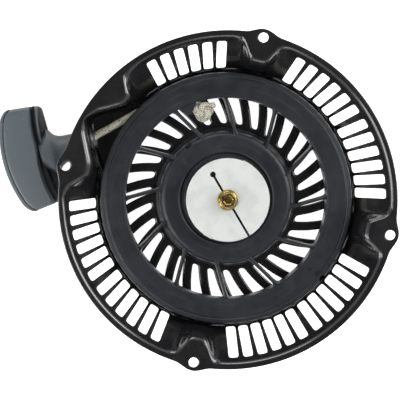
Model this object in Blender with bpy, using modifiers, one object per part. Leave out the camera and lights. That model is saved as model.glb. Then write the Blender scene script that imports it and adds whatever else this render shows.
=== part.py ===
"""Recoil starter of a small engine, lying open side up.

The reel's axis is Z and the origin is on that axis, on the outer flat face of the
case. +Z points towards the engine. Lengths are in millimetres until they reach a mesh.
"""
from math import acos, atan2, cos, hypot, pi, radians, sin

import bmesh
import bpy
from mathutils import Matrix, Vector

MM = 0.001
GAP = 0.3                       # clearance between pieces that touch

# Case: a pressed bowl with an outward flange
SHEET = 1.2
CASE_HEIGHT = 48.0
FLANGE_RADIUS = 112.5
FOLD_RADIUS = 106.8             # where the flange turns down into the wall
BEND = 2.6                      # radius of that turn
WALL_FOOT_RADIUS = 88.3
WALL_KNEE_Z = 13.0
FLOOR_CORNER = 4.0
HOLE_CIRCLE = 110.0
HOLE_RADIUS = 3.25
EAR_ANGLES = (77.9, 167.9, 257.9, 347.9)
EAR_HALF_ANGLE = 5.5
EAR_RISE = 3.1
# (degrees from the ear's hole, radius) of the land that reaches inward round a hole
LOBE = ((0.0, 92.6), (3.0, 92.9), (4.2, 95.0), (5.0, 99.0), (6.3, 103.4), (8.0, 106.0), (10.0, FOLD_RADIUS))
PLAIN_STEP = 7.0                # widest angle between two sections of the bowl

# Rope outlet: a flat wall in a pocket of the bowl
OUTLET_WALL_ANGLE = 191.6       # direction of its outward normal
OUTLET_WALL_DISTANCE = 83.2
OUTLET_WALL_SPAN = (151.3, 163.2)
# (degrees, radius) of the fold either side of that wall
POCKET_BEFORE = ((122.5, FOLD_RADIUS), (126.3, 106.0), (129.2, 104.3), (131.2, 100.2),
                 (132.7, 94.6), (134.7, 93.0), (137.6, 93.4), (142.0, 98.4), (145.6, 103.9), (149.3, 108.3))
POCKET_AFTER = ((165.6, 92.7), (168.6, 92.8), (170.6, 94.4), (173.0, 100.0), (175.4, 105.4), (178.0, 107.4),
                (183.5, FOLD_RADIUS))
POCKET_BLEND = (131.0, 138.0, 163.0, 171.0)   # where the pocket's wall is upright, and its two ends
POCKET_LEAN = 1.0

# Slots
WALL_SLOT_WIDTH = 6.5
WALL_SLOT_INNER = 89.2
WALL_SLOT_OUTER = 105.8
WALL_SLOT_CORNER = 1.0
WALL_SLOT_PITCH = 5.39
WALL_SLOTS_PER_GROUP = 6
WALL_SLOT_SHIFT = -0.6          # the groups sit a little off the middle between two ears
FLOOR_SLOTS = 30
FLOOR_SLOT_INNER = 51.3
FLOOR_SLOT_OUTER = 77.0
FLOOR_RIB = 6.7                 # metal left between two floor slots
FLOOR_SLOT_SWIRL = 0.385        # degrees a millimetre
FLOOR_SLOT_PHASE = 6.6

# Reel
RING_INNER = 68.5
RING_OUTER = 86.0
RING_BOTTOM = 9.6
RING_TOP = 21.6
RING_FLANGE = 1.2
RING_WALL = 1.9
HUB_OUTER = 46.0
HUB_FACE_Z = 19.5
HUB_BOTTOM = 3.2
HUB_SKIRT = 3.0
PEDESTAL_FOOT = 29.0
PEDESTAL_RADIUS = 27.0
PEDESTAL_TOP = 33.0
REEL_BORE = 9.3
SPRING_ROOF = 15.1
SPOKES = 12
SPOKE_WIDTH = 2.8
SPOKE_BOTTOM = 11.5
SPOKE_TOP = 19.0
SPOKE_PHASE = 21.0
SPOKE_SWIRL = 9.5

# Rope
ROPE_RADIUS = 2.5
ROPE_Z = (RING_TOP + RING_BOTTOM) / 2
ROPE_LAYER = 80.5               # centre line of the outermost turn
WINDING_INNER = RING_INNER + RING_WALL + 0.4
WINDING_OUTER = ROPE_LAYER - ROPE_RADIUS - 0.4
ANCHOR_HOLE = (69.4, 115.0)     # radius and angle of the hole in the ring
ANCHOR_KNOT = (61.4, 104.8)
KNOT_RADIUS = 6.6

# Eyelet where the rope leaves the case
OUTLET = Vector((-92.6, 40.2, ROPE_Z))
EYELET_TUBE = 5.8
EYELET_THROAT = 4.7
EYELET_MOUTH = 6.0
EYELET_RIM = 8.4
EYELET_LIP = 1.2
ROPE_MOUTH = (-91.6, 41.2)      # where the rope bends round the eyelet's lip

# Post, bush, screw
POST_RADIUS = 7.0
POST_BOSS = 10.0
POST_BOSS_TOP = 13.5
POST_FOOT = 13.0
POST_FOOT_TOP = 3.4
POST_TOP = 38.6
SPIGOT_RADIUS = 4.5
SPIGOT_TOP = 41.6
SCREW_BORE = 3.0
SCREW_DEPTH = 15.0
SCREW_FLANGE = 6.9
SCREW_TOP = 47.4
HEX_ACROSS_FLATS = 10.0
WASHER_OUTER = 12.0
RUNNING_GAP = 0.4               # round the post

# Ratchet guide and pawls
GUIDE_RADIUS = 27.9
GUIDE_BOTTOM = 39.3
GUIDE_TOP = 41.5
SLIT_WIDTH = 1.0
SLIT_ANGLE = 120.4
SLIT_HOLE_DISTANCE = 19.7
SLIT_HOLE_RADIUS = 1.6
PAWL_TIP_ANGLE = 67.4
PAWL_TIP_RADIUS = 28.6
PAWL_PIVOT = (17.5, -7.0)       # radius, and angle from the first guide axis
PAWL_WIDTH = 6.4
PAWL_HEEL = 3.6
CAM_LUG_ANGLE = 14.0            # from the pawl's tip to the lug that pushes it out
CAM_LUG_CIRCLE = 17.0
CAM_LUG_RADIUS = 2.2
GUIDE_BOSS = 10.0
GUIDE_BOSS_BOTTOM = PEDESTAL_TOP + 1.6
PAWL_BOTTOM = PEDESTAL_TOP + GAP
PAWL_TOP = GUIDE_BOTTOM - GAP
PIN_RADIUS = 2.0
SPRING_WELL = 4.5               # depth of the pocket round each pin
WELL_RADIUS = 4.6
PAWL_SPRING_TURNS = 2.5
PAWL_SPRING_RADIUS = 3.2
PAWL_SPRING_WIRE = 0.35
FRICTION_RING = 10.7
FRICTION_WIRE = 0.45

# Mainspring
SPRING_TURNS = 8
SPRING_INNER = 11.0
SPRING_OUTER = 41.6
SPRING_LOW = 4.0
SPRING_HIGH = 13.2
SPRING_STRIP = 0.9

# Handle, in its own axes: u along the pull, v along the grip, w up
PULL_ANGLE = 195.5
HANDLE_ORIGIN = (-90.5, 39.2)
NECK_START = 5.8
NECK_RADIUS = 8.6
GRIP_HALF_LENGTH = 35.6
GRIP_CROWN = 62.3
GRIP_ARC = 80.0
CAP_THICKNESS = 2.6
GRIP_HALF_THICK = 13.4
ROPE_BORE = 3.2
KNOT_POCKET_RADIUS = 8.6
KNOT_POCKET_START = 41.0


# ---------------------------------------------------------------- scene and helpers
for old in list(bpy.data.objects):
    bpy.data.objects.remove(old, do_unlink=True)

PARTS = bpy.data.collections.new("recoil_starter")
CUTTERS = bpy.data.collections.new("cutters")
bpy.context.scene.collection.children.link(PARTS)
bpy.context.scene.collection.children.link(CUTTERS)


def make_material(name, colour, roughness, metallic):
    material = bpy.data.materials.new(name)
    material.use_nodes = True
    shader = material.node_tree.nodes["Principled BSDF"]
    shader.inputs["Base Color"].default_value = (*colour, 1.0)
    shader.inputs["Roughness"].default_value = roughness
    shader.inputs["Metallic"].default_value = metallic
    return material


BLACK_PAINT = ((0.022, 0.022, 0.026), 0.25, 0.0)
REEL_PLASTIC = ((0.045, 0.050, 0.062), 0.45, 0.0)
GRIP_PLASTIC = ((0.105, 0.125, 0.150), 0.50, 0.0)
WHITE_NYLON = ((0.80, 0.80, 0.76), 0.40, 0.0)
ROPE_FIBRE = ((0.72, 0.66, 0.50), 0.85, 0.0)
YELLOW_ZINC = ((0.62, 0.50, 0.20), 0.30, 1.0)
BRIGHT_STEEL = ((0.60, 0.60, 0.62), 0.35, 1.0)
SPRING_STEEL = ((0.25, 0.26, 0.28), 0.35, 1.0)
BRONZE = ((0.55, 0.38, 0.18), 0.40, 1.0)


def polar(radius, degrees):
    angle = radians(degrees)
    return radius * cos(angle), radius * sin(angle)


def add_object(name, mesh, collection=PARTS, look=None):
    item = bpy.data.objects.new(name, mesh)
    collection.objects.link(item)
    if look:
        mesh.materials.append(make_material(name, *look))
    if collection is CUTTERS:
        item.hide_render = True
        item.display_type = "WIRE"
    return item


def from_bmesh(name, shape, collection=PARTS, look=None):
    mesh = bpy.data.meshes.new(name)
    bmesh.ops.recalc_face_normals(shape, faces=shape.faces)
    shape.to_mesh(mesh)
    shape.free()
    mesh.shade_smooth()
    mesh.set_sharp_from_angle(angle=radians(35.0))
    return add_object(name, mesh, collection, look)


def turned(name, profile, steps, collection=PARTS, look=None):
    """Turn a closed profile of (radius, z), given down its outer side, about Z."""
    mesh = bpy.data.meshes.new(name)
    points = [(radius * MM, 0.0, z * MM) for radius, z in profile]
    edges = [(i, (i + 1) % len(points)) for i in range(len(points))]
    if profile[0][0] == 0.0 and profile[-1][0] == 0.0:
        edges.pop()
    mesh.from_pydata(points, edges, [])
    item = add_object(name, mesh, collection, look)
    screw = item.modifiers.new("turn", "SCREW")
    screw.steps = steps
    screw.render_steps = steps
    screw.use_merge_vertices = True
    screw.merge_threshold = 0.00001
    screw.use_smooth_shade = True
    return item


def prism(shape, outline, bottom, top):
    """Add an upright prism over a flat outline to a bmesh."""
    verts = [shape.verts.new((x * MM, y * MM, bottom * MM)) for x, y in outline]
    base = shape.faces.new(verts)
    raised = bmesh.ops.extrude_face_region(shape, geom=[base])["geom"]
    lifted = [part for part in raised if isinstance(part, bmesh.types.BMVert)]
    bmesh.ops.translate(shape, verts=lifted, vec=(0.0, 0.0, (top - bottom) * MM))


def rod(shape, start, end, radius, sides=16, end_radius=None):
    """Add a closed cylinder or cone between two points to a bmesh."""
    start = Vector(start) * MM
    end = Vector(end) * MM
    turn = (end - start).to_track_quat("Z", "Y").to_matrix().to_4x4()
    place = Matrix.Translation((start + end) / 2) @ turn
    bmesh.ops.create_cone(shape, cap_ends=True, segments=sides, radius1=radius * MM,
                          radius2=(radius if end_radius is None else end_radius) * MM,
                          depth=(end - start).length, matrix=place)


def boolean(item, operand, operation="DIFFERENCE"):
    step = item.modifiers.new(operand.name, "BOOLEAN")
    step.object = operand
    step.operation = operation
    step.solver = "EXACT"


def tube(name, points, radius, look, resolution=2):
    """A rope or wire along a list of points, as a curve with filled ends."""
    curve = bpy.data.curves.new(name, "CURVE")
    curve.dimensions = "3D"
    curve.bevel_depth = radius * MM
    curve.bevel_resolution = resolution
    curve.use_fill_caps = True
    spline = curve.splines.new("POLY")
    spline.points.add(len(points) - 1)
    for place, point in zip(spline.points, points):
        place.co = (*(Vector(point) * MM), 1.0)
    spline.use_smooth = True
    curve.materials.append(make_material(name, *look))
    item = bpy.data.objects.new(name, curve)
    PARTS.objects.link(item)
    return item


def smooth_route(points, spacing):
    """Points about every spacing along a smooth curve through the given ones."""
    route = []
    padded = [points[0]] + list(points) + [points[-1]]
    for i in range(1, len(padded) - 2):
        a, b, c, d = (Vector(p) for p in padded[i - 1:i + 3])
        count = max(1, round((c - b).length / spacing))
        for k in range(count):
            t = k / count
            route.append(0.5 * ((2 * b) + (c - a) * t + (2 * a - 5 * b + 4 * c - d) * t ** 2
                                + (3 * b - a - 3 * c + d) * t ** 3))
    route.append(Vector(points[-1]))
    return route


# ---------------------------------------------------------------- case
def outlet_wall_radius(degrees):
    return OUTLET_WALL_DISTANCE / cos(radians(degrees - OUTLET_WALL_ANGLE))


def fold_outline():
    """Sorted (degrees, radius) of the line where the flange turns down."""
    outline = list(POCKET_BEFORE) + list(POCKET_AFTER)
    first, last = OUTLET_WALL_SPAN
    for i in range(5):
        degrees = first + (last - first) * i / 4
        outline.append((degrees, outlet_wall_radius(degrees)))
    for ear in EAR_ANGLES:
        if ear == EAR_ANGLES[1]:
            continue                # this ear's land belongs to the rope pocket
        for offset, radius in LOBE:
            outline.append(((ear + offset) % 360, radius))
            if offset:
                outline.append(((ear - offset) % 360, radius))
    outline.sort()
    filled = []
    for i, (degrees, radius) in enumerate(outline):
        after, next_radius = outline[(i + 1) % len(outline)]
        span = (after - degrees) % 360
        count = max(1, int(span / PLAIN_STEP + 0.999))
        for k in range(count):
            share = k / count
            filled.append(((degrees + span * share) % 360, radius + (next_radius - radius) * share))
    for ear in EAR_ANGLES:
        for offset in (-EAR_HALF_ANGLE, -0.7, 0.7, EAR_HALF_ANGLE):
            degrees = (ear + offset) % 360
            if min(abs(degrees - known) for known, _ in filled) > 0.35:
                filled.append((degrees, radius_between(outline, degrees)))
    return sorted(filled)


def radius_between(outline, degrees):
    for i, (low, radius) in enumerate(outline):
        high, next_radius = outline[(i + 1) % len(outline)]
        span = (high - low) % 360
        along = (degrees - low) % 360
        if along <= span:
            return radius + (next_radius - radius) * along / span
    return FOLD_RADIUS


def flange_radius(degrees):
    nearest = min(abs((degrees - ear + 180) % 360 - 180) for ear in EAR_ANGLES)
    return FLANGE_RADIUS + EAR_RISE * max(0.0, 1.0 - max(0.0, nearest - 0.7) / (EAR_HALF_ANGLE - 0.7))


def foot_radius(degrees, fold):
    start, full, fade, end = POCKET_BLEND
    weight = max(0.0, min((degrees - start) / (full - start), 1.0, (end - degrees) / (end - fade)))
    return WALL_FOOT_RADIUS + weight * max(0.0, fold - POCKET_LEAN - WALL_FOOT_RADIUS)


def case_section(degrees, fold):
    """The bowl's upper face at one angle, from the flange's rim to the flat floor."""
    foot = foot_radius(degrees, fold)
    return [(flange_radius(degrees), CASE_HEIGHT),
            (fold + BEND, CASE_HEIGHT),
            (fold + 0.3 * BEND, CASE_HEIGHT - 0.3 * BEND),
            (fold, CASE_HEIGHT - BEND),
            (foot + 0.5, WALL_KNEE_Z),
            (foot, SHEET + FLOOR_CORNER),
            (foot - 0.3 * FLOOR_CORNER, SHEET + 0.3 * FLOOR_CORNER),
            (foot - FLOOR_CORNER, SHEET)]


def slot_outline(inner, outer, width, degrees):
    corner = WALL_SLOT_CORNER
    half = width / 2
    flat = [(inner + corner, -half), (outer - corner, -half), (outer, corner - half), (outer, half - corner),
            (outer - corner, half), (inner + corner, half), (inner, half - corner), (inner, corner - half)]
    c, s = polar(1.0, degrees)
    return [(r * c - t * s, r * s + t * c) for r, t in flat]


def wall_slot_angles():
    """Two groups of slots a quadrant; the rope pocket takes the place of one group."""
    for ear in EAR_ANGLES:
        middle = ear + 45.0 + WALL_SLOT_SHIFT
        for side in (-1, 1):
            if ear == EAR_ANGLES[0] and side == 1:
                continue
            for k in range(WALL_SLOTS_PER_GROUP):
                yield middle + side * (3.15 + WALL_SLOT_PITCH * k)


def floor_slot_outline(index):
    """A slot that swirls and widens outward and leaves ribs of one width."""
    def edge(radius, side):
        pitch = 2 * pi * radius / FLOOR_SLOTS
        middle = FLOOR_SLOT_PHASE + 360 / FLOOR_SLOTS * index + FLOOR_SLOT_SWIRL * (radius - FLOOR_SLOT_INNER)
        half = (pitch - FLOOR_RIB) / 2 * side
        x, y = polar(radius, middle)
        c, s = polar(1.0, middle)
        return x - half * s, y + half * c
    start = FLOOR_SLOT_INNER + 2.3
    low = [edge(r, -1) for r in (start, 64.0, FLOOR_SLOT_OUTER)]
    high = [edge(r, 1) for r in (FLOOR_SLOT_OUTER, 64.0, start)]
    tip = []
    for share in (0.35, -0.35):
        radius = FLOOR_SLOT_INNER + 0.5
        middle = FLOOR_SLOT_PHASE + 360 / FLOOR_SLOTS * index
        x, y = polar(radius, middle)
        c, s = polar(1.0, middle)
        half = share * 2 * 2.4
        tip.append((x - half * s, y + half * c))
    return low + high + tip


def make_case():
    shape = bmesh.new()
    rings = [[] for _ in range(8)]
    for degrees, fold in fold_outline():
        for ring, (radius, z) in zip(rings, case_section(degrees, fold)):
            x, y = polar(radius, degrees)
            ring.append(shape.verts.new((x * MM, y * MM, z * MM)))
    count = len(rings[0])
    for outer, inner in zip(rings, rings[1:]):
        for i in range(count):
            j = (i + 1) % count
            shape.faces.new((outer[i], outer[j], inner[j], inner[i]))
    shape.faces.new(rings[-1])
    case = from_bmesh("starter_case", shape, look=BLACK_PAINT)
    if case.data.polygons[-1].normal.z < 0:
        case.data.flip_normals()
    wall = case.modifiers.new("sheet", "SOLIDIFY")
    wall.thickness = SHEET * MM
    wall.offset = -1.0
    wall.use_even_offset = True

    slots = bmesh.new()
    for degrees in wall_slot_angles():
        outline = slot_outline(WALL_SLOT_INNER, WALL_SLOT_OUTER, WALL_SLOT_WIDTH, degrees)
        prism(slots, outline, 4.0, CASE_HEIGHT + 4.0)
    for index in range(FLOOR_SLOTS):
        prism(slots, floor_slot_outline(index), -3.0, 5.0)
    boolean(case, from_bmesh("slot_cutter", slots, CUTTERS))

    holes = bmesh.new()
    for ear in EAR_ANGLES:
        x, y = polar(HOLE_CIRCLE, ear)
        rod(holes, (x, y, CASE_HEIGHT - 6), (x, y, CASE_HEIGHT + 4), HOLE_RADIUS)
    rod(holes, guide_point(-6.0), guide_point(6.0), EYELET_TUBE + GAP, 20)
    boolean(case, from_bmesh("hole_cutter", holes, CUTTERS))


# ---------------------------------------------------------------- rope guide in the wall
def guide_point(distance):
    """A point on the eyelet's axis, measured outward from the wall's inner face."""
    return OUTLET + distance * Vector((*polar(1.0, OUTLET_WALL_ANGLE), 0.0))


def make_rope_guide():
    wall = SHEET + 2 * GAP
    inside, outside = -GAP - 1.5, wall + EYELET_LIP
    profile = [(EYELET_MOUTH, inside), (EYELET_RIM, inside), (EYELET_RIM, -GAP), (EYELET_TUBE, -GAP),
               (EYELET_TUBE, wall), (EYELET_RIM, wall), (EYELET_RIM, outside),
               (EYELET_MOUTH, outside), (EYELET_THROAT, wall), (EYELET_THROAT, 0.0)]
    guide = turned("rope_guide", [(radius, -z) for radius, z in profile], 16, look=BRIGHT_STEEL)
    axis = -Vector((*polar(1.0, OUTLET_WALL_ANGLE), 0.0))
    guide.rotation_euler = axis.to_track_quat("Z", "Y").to_euler()
    guide.location = OUTLET * MM


# ---------------------------------------------------------------- centre post and screw
def make_post():
    blind = SPIGOT_TOP - SCREW_DEPTH
    profile = [(0.0, blind), (SCREW_BORE, blind), (SCREW_BORE, SPIGOT_TOP),
               (SPIGOT_RADIUS, SPIGOT_TOP), (SPIGOT_RADIUS, POST_TOP), (POST_RADIUS, POST_TOP),
               (POST_RADIUS, POST_BOSS_TOP), (POST_BOSS, POST_BOSS_TOP), (POST_BOSS, POST_FOOT_TOP),
               (POST_FOOT, POST_FOOT_TOP), (POST_FOOT, SHEET + GAP), (0.0, SHEET + GAP)]
    turned("centre_post", profile, 32, look=BRIGHT_STEEL)


def make_screw():
    bottom = SPIGOT_TOP + GAP
    shape = bmesh.new()
    rod(shape, (0, 0, bottom + 1.0), (0, 0, SCREW_TOP), HEX_ACROSS_FLATS / 2 / cos(pi / 6), 6)
    head = from_bmesh("screw_head", shape, CUTTERS)
    shank, point = SCREW_BORE - GAP, SPIGOT_TOP - SCREW_DEPTH + 1.0
    profile = [(0.0, bottom + 1.5), (SCREW_FLANGE - 0.8, bottom + 1.5), (SCREW_FLANGE, bottom + 0.9),
               (SCREW_FLANGE, bottom), (shank, bottom), (shank, point), (0.0, point)]
    screw = turned("centre_screw", profile, 24, look=YELLOW_ZINC)
    boolean(screw, head, "UNION")


def make_thrust_washer():
    inner, outer = POST_RADIUS + RUNNING_GAP, WASHER_OUTER
    low, high = POST_BOSS_TOP + GAP, SPRING_ROOF - GAP
    turned("thrust_washer", [(inner, high), (outer, high), (outer, low), (inner, low)], 24, look=BRIGHT_STEEL)


# ---------------------------------------------------------------- reel and what turns with it
def make_reel():
    foot = HUB_FACE_Z
    skirt = HUB_OUTER - HUB_SKIRT
    profile = [(REEL_BORE, PEDESTAL_TOP), (PEDESTAL_RADIUS - 0.6, PEDESTAL_TOP),
               (PEDESTAL_RADIUS, PEDESTAL_TOP - 0.6), (PEDESTAL_FOOT, foot + 1.2),
               (PEDESTAL_FOOT + 1.2, foot), (HUB_OUTER - 5.0, foot), (HUB_OUTER - 1.5, foot - 1.2),
               (HUB_OUTER, foot - 4.0), (HUB_OUTER, HUB_BOTTOM), (skirt, HUB_BOTTOM),
               (skirt, SPRING_ROOF), (REEL_BORE, SPRING_ROOF)]
    reel = turned("reel", profile, 48, look=REEL_PLASTIC)

    inner_wall = RING_INNER + RING_WALL
    profile = [(RING_INNER + 0.8, RING_TOP), (RING_OUTER, RING_TOP), (RING_OUTER, RING_TOP - RING_FLANGE),
               (inner_wall, RING_TOP - RING_FLANGE), (inner_wall, RING_BOTTOM + RING_FLANGE),
               (RING_OUTER, RING_BOTTOM + RING_FLANGE), (RING_OUTER, RING_BOTTOM), (RING_INNER, RING_BOTTOM),
               (RING_INNER, RING_TOP - 0.8)]
    boolean(reel, turned("reel_ring", profile, 60, CUTTERS), "UNION")

    spokes = bmesh.new()
    for index in range(SPOKES):
        start = Vector(polar(HUB_OUTER - 1.5, SPOKE_PHASE + 30 * index))
        end = Vector(polar(RING_INNER + 0.9, SPOKE_PHASE + 30 * index + SPOKE_SWIRL))
        side = (end - start).normalized().orthogonal() * SPOKE_WIDTH / 2
        prism(spokes, [start - side, end - side, end + side, start + side], SPOKE_BOTTOM, SPOKE_TOP)
    boolean(reel, from_bmesh("reel_spokes", spokes, CUTTERS), "UNION")

    cuts, wells = bmesh.new(), bmesh.new()
    for place in (0.0, 180.0):
        x, y = polar(PAWL_PIVOT[0], PAWL_PIVOT[1] + place)
        rod(cuts, (x, y, PEDESTAL_TOP - 8), (x, y, PEDESTAL_TOP + 2), PIN_RADIUS + GAP, 12)
        rod(wells, (x, y, PEDESTAL_TOP - SPRING_WELL), (x, y, PEDESTAL_TOP + 2), WELL_RADIUS, 16)
    boolean(reel, from_bmesh("pin_cutter", cuts, CUTTERS))
    boolean(reel, from_bmesh("spring_well_cutter", wells, CUTTERS))

    hole = bmesh.new()
    rod(hole, anchor_point(-7.0), anchor_point(7.0), ROPE_RADIUS + 0.6, 12)
    boolean(reel, from_bmesh("anchor_cutter", hole, CUTTERS))


def anchor_point(distance):
    """A point on the line through the anchor hole, measured away from the knot."""
    hole = Vector((*polar(*ANCHOR_HOLE), ROPE_Z))
    knot = Vector((*polar(*ANCHOR_KNOT), ROPE_Z))
    return hole + (hole - knot).normalized() * distance


def make_bush():
    inner, outer = POST_RADIUS + RUNNING_GAP, REEL_BORE - GAP
    low, high = SPRING_ROOF + 0.1, PEDESTAL_TOP - GAP
    profile = [(inner, high), (outer, high), (outer, low), (inner, low)]
    turned("reel_bush", profile, 24, look=BRONZE)


def make_winding():
    low, high, round_off = RING_BOTTOM + RING_FLANGE + 0.4, RING_TOP - RING_FLANGE - 0.4, 1.2
    shoulder = WINDING_OUTER - round_off
    profile = [(WINDING_INNER, high), (shoulder, high), (WINDING_OUTER, high - round_off),
               (WINDING_OUTER, low + round_off), (shoulder, low), (WINDING_INNER, low)]
    turned("rope_winding", profile, 48, look=ROPE_FIBRE)


def make_anchor_knot():
    shape = bmesh.new()
    centre = Vector((*polar(*ANCHOR_KNOT), ROPE_Z))
    squash = Matrix.Diagonal((1.0, 1.0, 0.85, 1.0))
    place = Matrix.Translation(centre * MM) @ squash
    bmesh.ops.create_uvsphere(shape, u_segments=12, v_segments=8, radius=KNOT_RADIUS * MM, matrix=place)
    knot = from_bmesh("rope_anchor_knot", shape, look=ROPE_FIBRE)
    stub = bmesh.new()
    rod(stub, centre, anchor_point(-2.2), ROPE_RADIUS, 10)
    boolean(knot, from_bmesh("anchor_stub", stub, CUTTERS), "UNION")


def make_mainspring():
    """A flat strip wound in a spiral in the hollow under the hub."""
    steps = 20
    shape = bmesh.new()
    before = None
    for i in range(SPRING_TURNS * steps + 1):
        share = i / (SPRING_TURNS * steps)
        x, y = polar(SPRING_INNER + (SPRING_OUTER - SPRING_INNER) * share, 360 * i / steps)
        pair = [shape.verts.new((x * MM, y * MM, z * MM)) for z in (SPRING_LOW, SPRING_HIGH)]
        if before:
            shape.faces.new((before[0], pair[0], pair[1], before[1]))
        before = pair
    spring = from_bmesh("mainspring", shape, look=SPRING_STEEL)
    strip = spring.modifiers.new("strip", "SOLIDIFY")
    strip.thickness = SPRING_STRIP * MM
    strip.offset = 0.0


# ---------------------------------------------------------------- ratchet guide and pawls
def make_ratchet_guide():
    bore = SPIGOT_RADIUS + RUNNING_GAP
    hollow = POST_RADIUS + RUNNING_GAP + 0.1
    profile = [(bore, GUIDE_TOP), (GUIDE_RADIUS - 0.5, GUIDE_TOP), (GUIDE_RADIUS, GUIDE_TOP - 0.5),
               (GUIDE_RADIUS, GUIDE_BOTTOM), (GUIDE_BOSS, GUIDE_BOTTOM), (GUIDE_BOSS, GUIDE_BOSS_BOTTOM),
               (hollow, GUIDE_BOSS_BOTTOM), (hollow, GUIDE_BOTTOM), (bore, GUIDE_BOTTOM)]
    guide = turned("ratchet_guide", profile, 48, look=WHITE_NYLON)
    lugs = bmesh.new()
    for place in (0.0, 180.0):
        x, y = polar(CAM_LUG_CIRCLE, PAWL_TIP_ANGLE + CAM_LUG_ANGLE + place)
        rod(lugs, (x, y, GUIDE_BOSS_BOTTOM), (x, y, GUIDE_BOTTOM + 0.6), CAM_LUG_RADIUS, 12)
    boolean(guide, from_bmesh("cam_lugs", lugs, CUTTERS), "UNION")

    slit = bmesh.new()
    near = Vector(polar(SLIT_HOLE_DISTANCE, SLIT_ANGLE))
    far = Vector(polar(GUIDE_RADIUS + 3, SLIT_ANGLE + 180))
    side = (far - near).normalized().orthogonal() * SLIT_WIDTH / 2
    prism(slit, [near - side, far - side, far + side, near + side], PEDESTAL_TOP, GUIDE_TOP + 2)
    boolean(guide, from_bmesh("slit_cutter", slit, CUTTERS))
    relief = bmesh.new()
    rod(relief, (*near, GUIDE_BOTTOM - 2), (*near, GUIDE_TOP + 2), SLIT_HOLE_RADIUS, 16)
    boolean(guide, from_bmesh("relief_cutter", relief, CUTTERS))


def pawl_outline():
    """A curved lever from the pivot, about the origin, to its tip."""
    pivot = Vector(polar(*PAWL_PIVOT))
    tip = Vector(polar(PAWL_TIP_RADIUS, PAWL_TIP_ANGLE))
    outer, inner = [], []
    steps = 6
    for i in range(steps + 1):
        share = i / steps
        radius = PAWL_PIVOT[0] + 3.4 + (PAWL_TIP_RADIUS - PAWL_PIVOT[0] - 3.4) * min(1.0, share * 1.15)
        degrees = PAWL_PIVOT[1] + (PAWL_TIP_ANGLE - PAWL_PIVOT[1]) * share
        outer.append(Vector(polar(radius, degrees)) - pivot)
        depth = PAWL_WIDTH * (1.0 - 0.42 * share)
        inner.append(Vector(polar(radius - depth, degrees)) - pivot)
    outer[-1] = tip - pivot
    heel = [Vector(polar(PAWL_HEEL, PAWL_PIVOT[1] + turn)) for turn in (-150, -110, -70)]
    return heel + outer + inner[::-1]


def make_pawls():
    for letter, place in (("a", 0.0), ("b", 180.0)):
        shape = bmesh.new()
        prism(shape, pawl_outline(), PAWL_BOTTOM, PAWL_TOP)
        pawl = from_bmesh("pawl_" + letter, shape, look=WHITE_NYLON)
        bore = bmesh.new()
        rod(bore, (0, 0, PAWL_BOTTOM - 2), (0, 0, PAWL_TOP + 2), PIN_RADIUS + GAP, 12)
        cutter = from_bmesh("pawl_bore_" + letter, bore, CUTTERS)
        x, y = polar(PAWL_PIVOT[0], PAWL_PIVOT[1] + place)
        for item in (pawl, cutter):
            item.location = (x * MM, y * MM, 0.0)
            item.rotation_euler = (0.0, 0.0, radians(place))
        boolean(pawl, cutter)

        pin = bmesh.new()
        rod(pin, (0, 0, PEDESTAL_TOP - 7.7), (0, 0, PAWL_TOP - 0.4), PIN_RADIUS, 12)
        item = from_bmesh("pawl_pin_" + letter, pin, look=BRIGHT_STEEL)
        item.location = (x * MM, y * MM, 0.0)

        coil, steps = [], 10
        count = int(PAWL_SPRING_TURNS * steps)
        low, high = PEDESTAL_TOP - 4.0, PEDESTAL_TOP - 0.6
        for i in range(count + 1):
            coil.append((*polar(PAWL_SPRING_RADIUS, 360 * i / steps), low + (high - low) * i / count))
        item = tube("pawl_spring_" + letter, coil, PAWL_SPRING_WIRE, SPRING_STEEL)
        item.location = (x * MM, y * MM, 0.0)


def make_friction_spring():
    """A nearly closed wire ring that grips the guide's boss."""
    ring = [(*polar(FRICTION_RING, 150 + 300 * i / 20), PEDESTAL_TOP + 3.6) for i in range(21)]
    tube("friction_spring", ring, FRICTION_WIRE, SPRING_STEEL)


# ---------------------------------------------------------------- rope
def pull_point(distance, sideways=0.0, up=0.0):
    c, s = polar(1.0, PULL_ANGLE)
    x = HANDLE_ORIGIN[0] + distance * c + sideways * s
    y = HANDLE_ORIGIN[1] + distance * s - sideways * c
    return Vector((x, y, ROPE_Z + up))


def rope_route():
    """From the reel's outermost turn, straight to the eyelet and out to the handle."""
    mouth = Vector(ROPE_MOUTH)
    reach = acos(ROPE_LAYER / hypot(*mouth))
    tangent = atan2(mouth.y, mouth.x) - reach
    start = Vector((ROPE_LAYER * cos(tangent), ROPE_LAYER * sin(tangent)))
    route = [(*start, ROPE_Z), (*start.lerp(mouth, 0.35), ROPE_Z), (*start.lerp(mouth, 0.7), ROPE_Z),
             (*start.lerp(mouth, 0.95), ROPE_Z), pull_point(1.6, 0.9), pull_point(NECK_START - 1.2)]
    return smooth_route(route, 5.0)


def make_rope():
    tube("rope_run", rope_route(), ROPE_RADIUS, ROPE_FIBRE)
    tail = bmesh.new()
    rod(tail, pull_point(NECK_START), pull_point(KNOT_POCKET_START + 2.2), ROPE_RADIUS, 12)
    from_bmesh("rope_tail", tail, look=ROPE_FIBRE)


# ---------------------------------------------------------------- handle
def palm_line(v):
    """Distance of the palm side along the pull: a flat arc with rounder corners."""
    corner = max(0.0, abs(v) / GRIP_HALF_LENGTH - 0.8) / 0.2
    return GRIP_CROWN - v * v / (2 * GRIP_ARC) - 2.0 * corner ** 2


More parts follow.
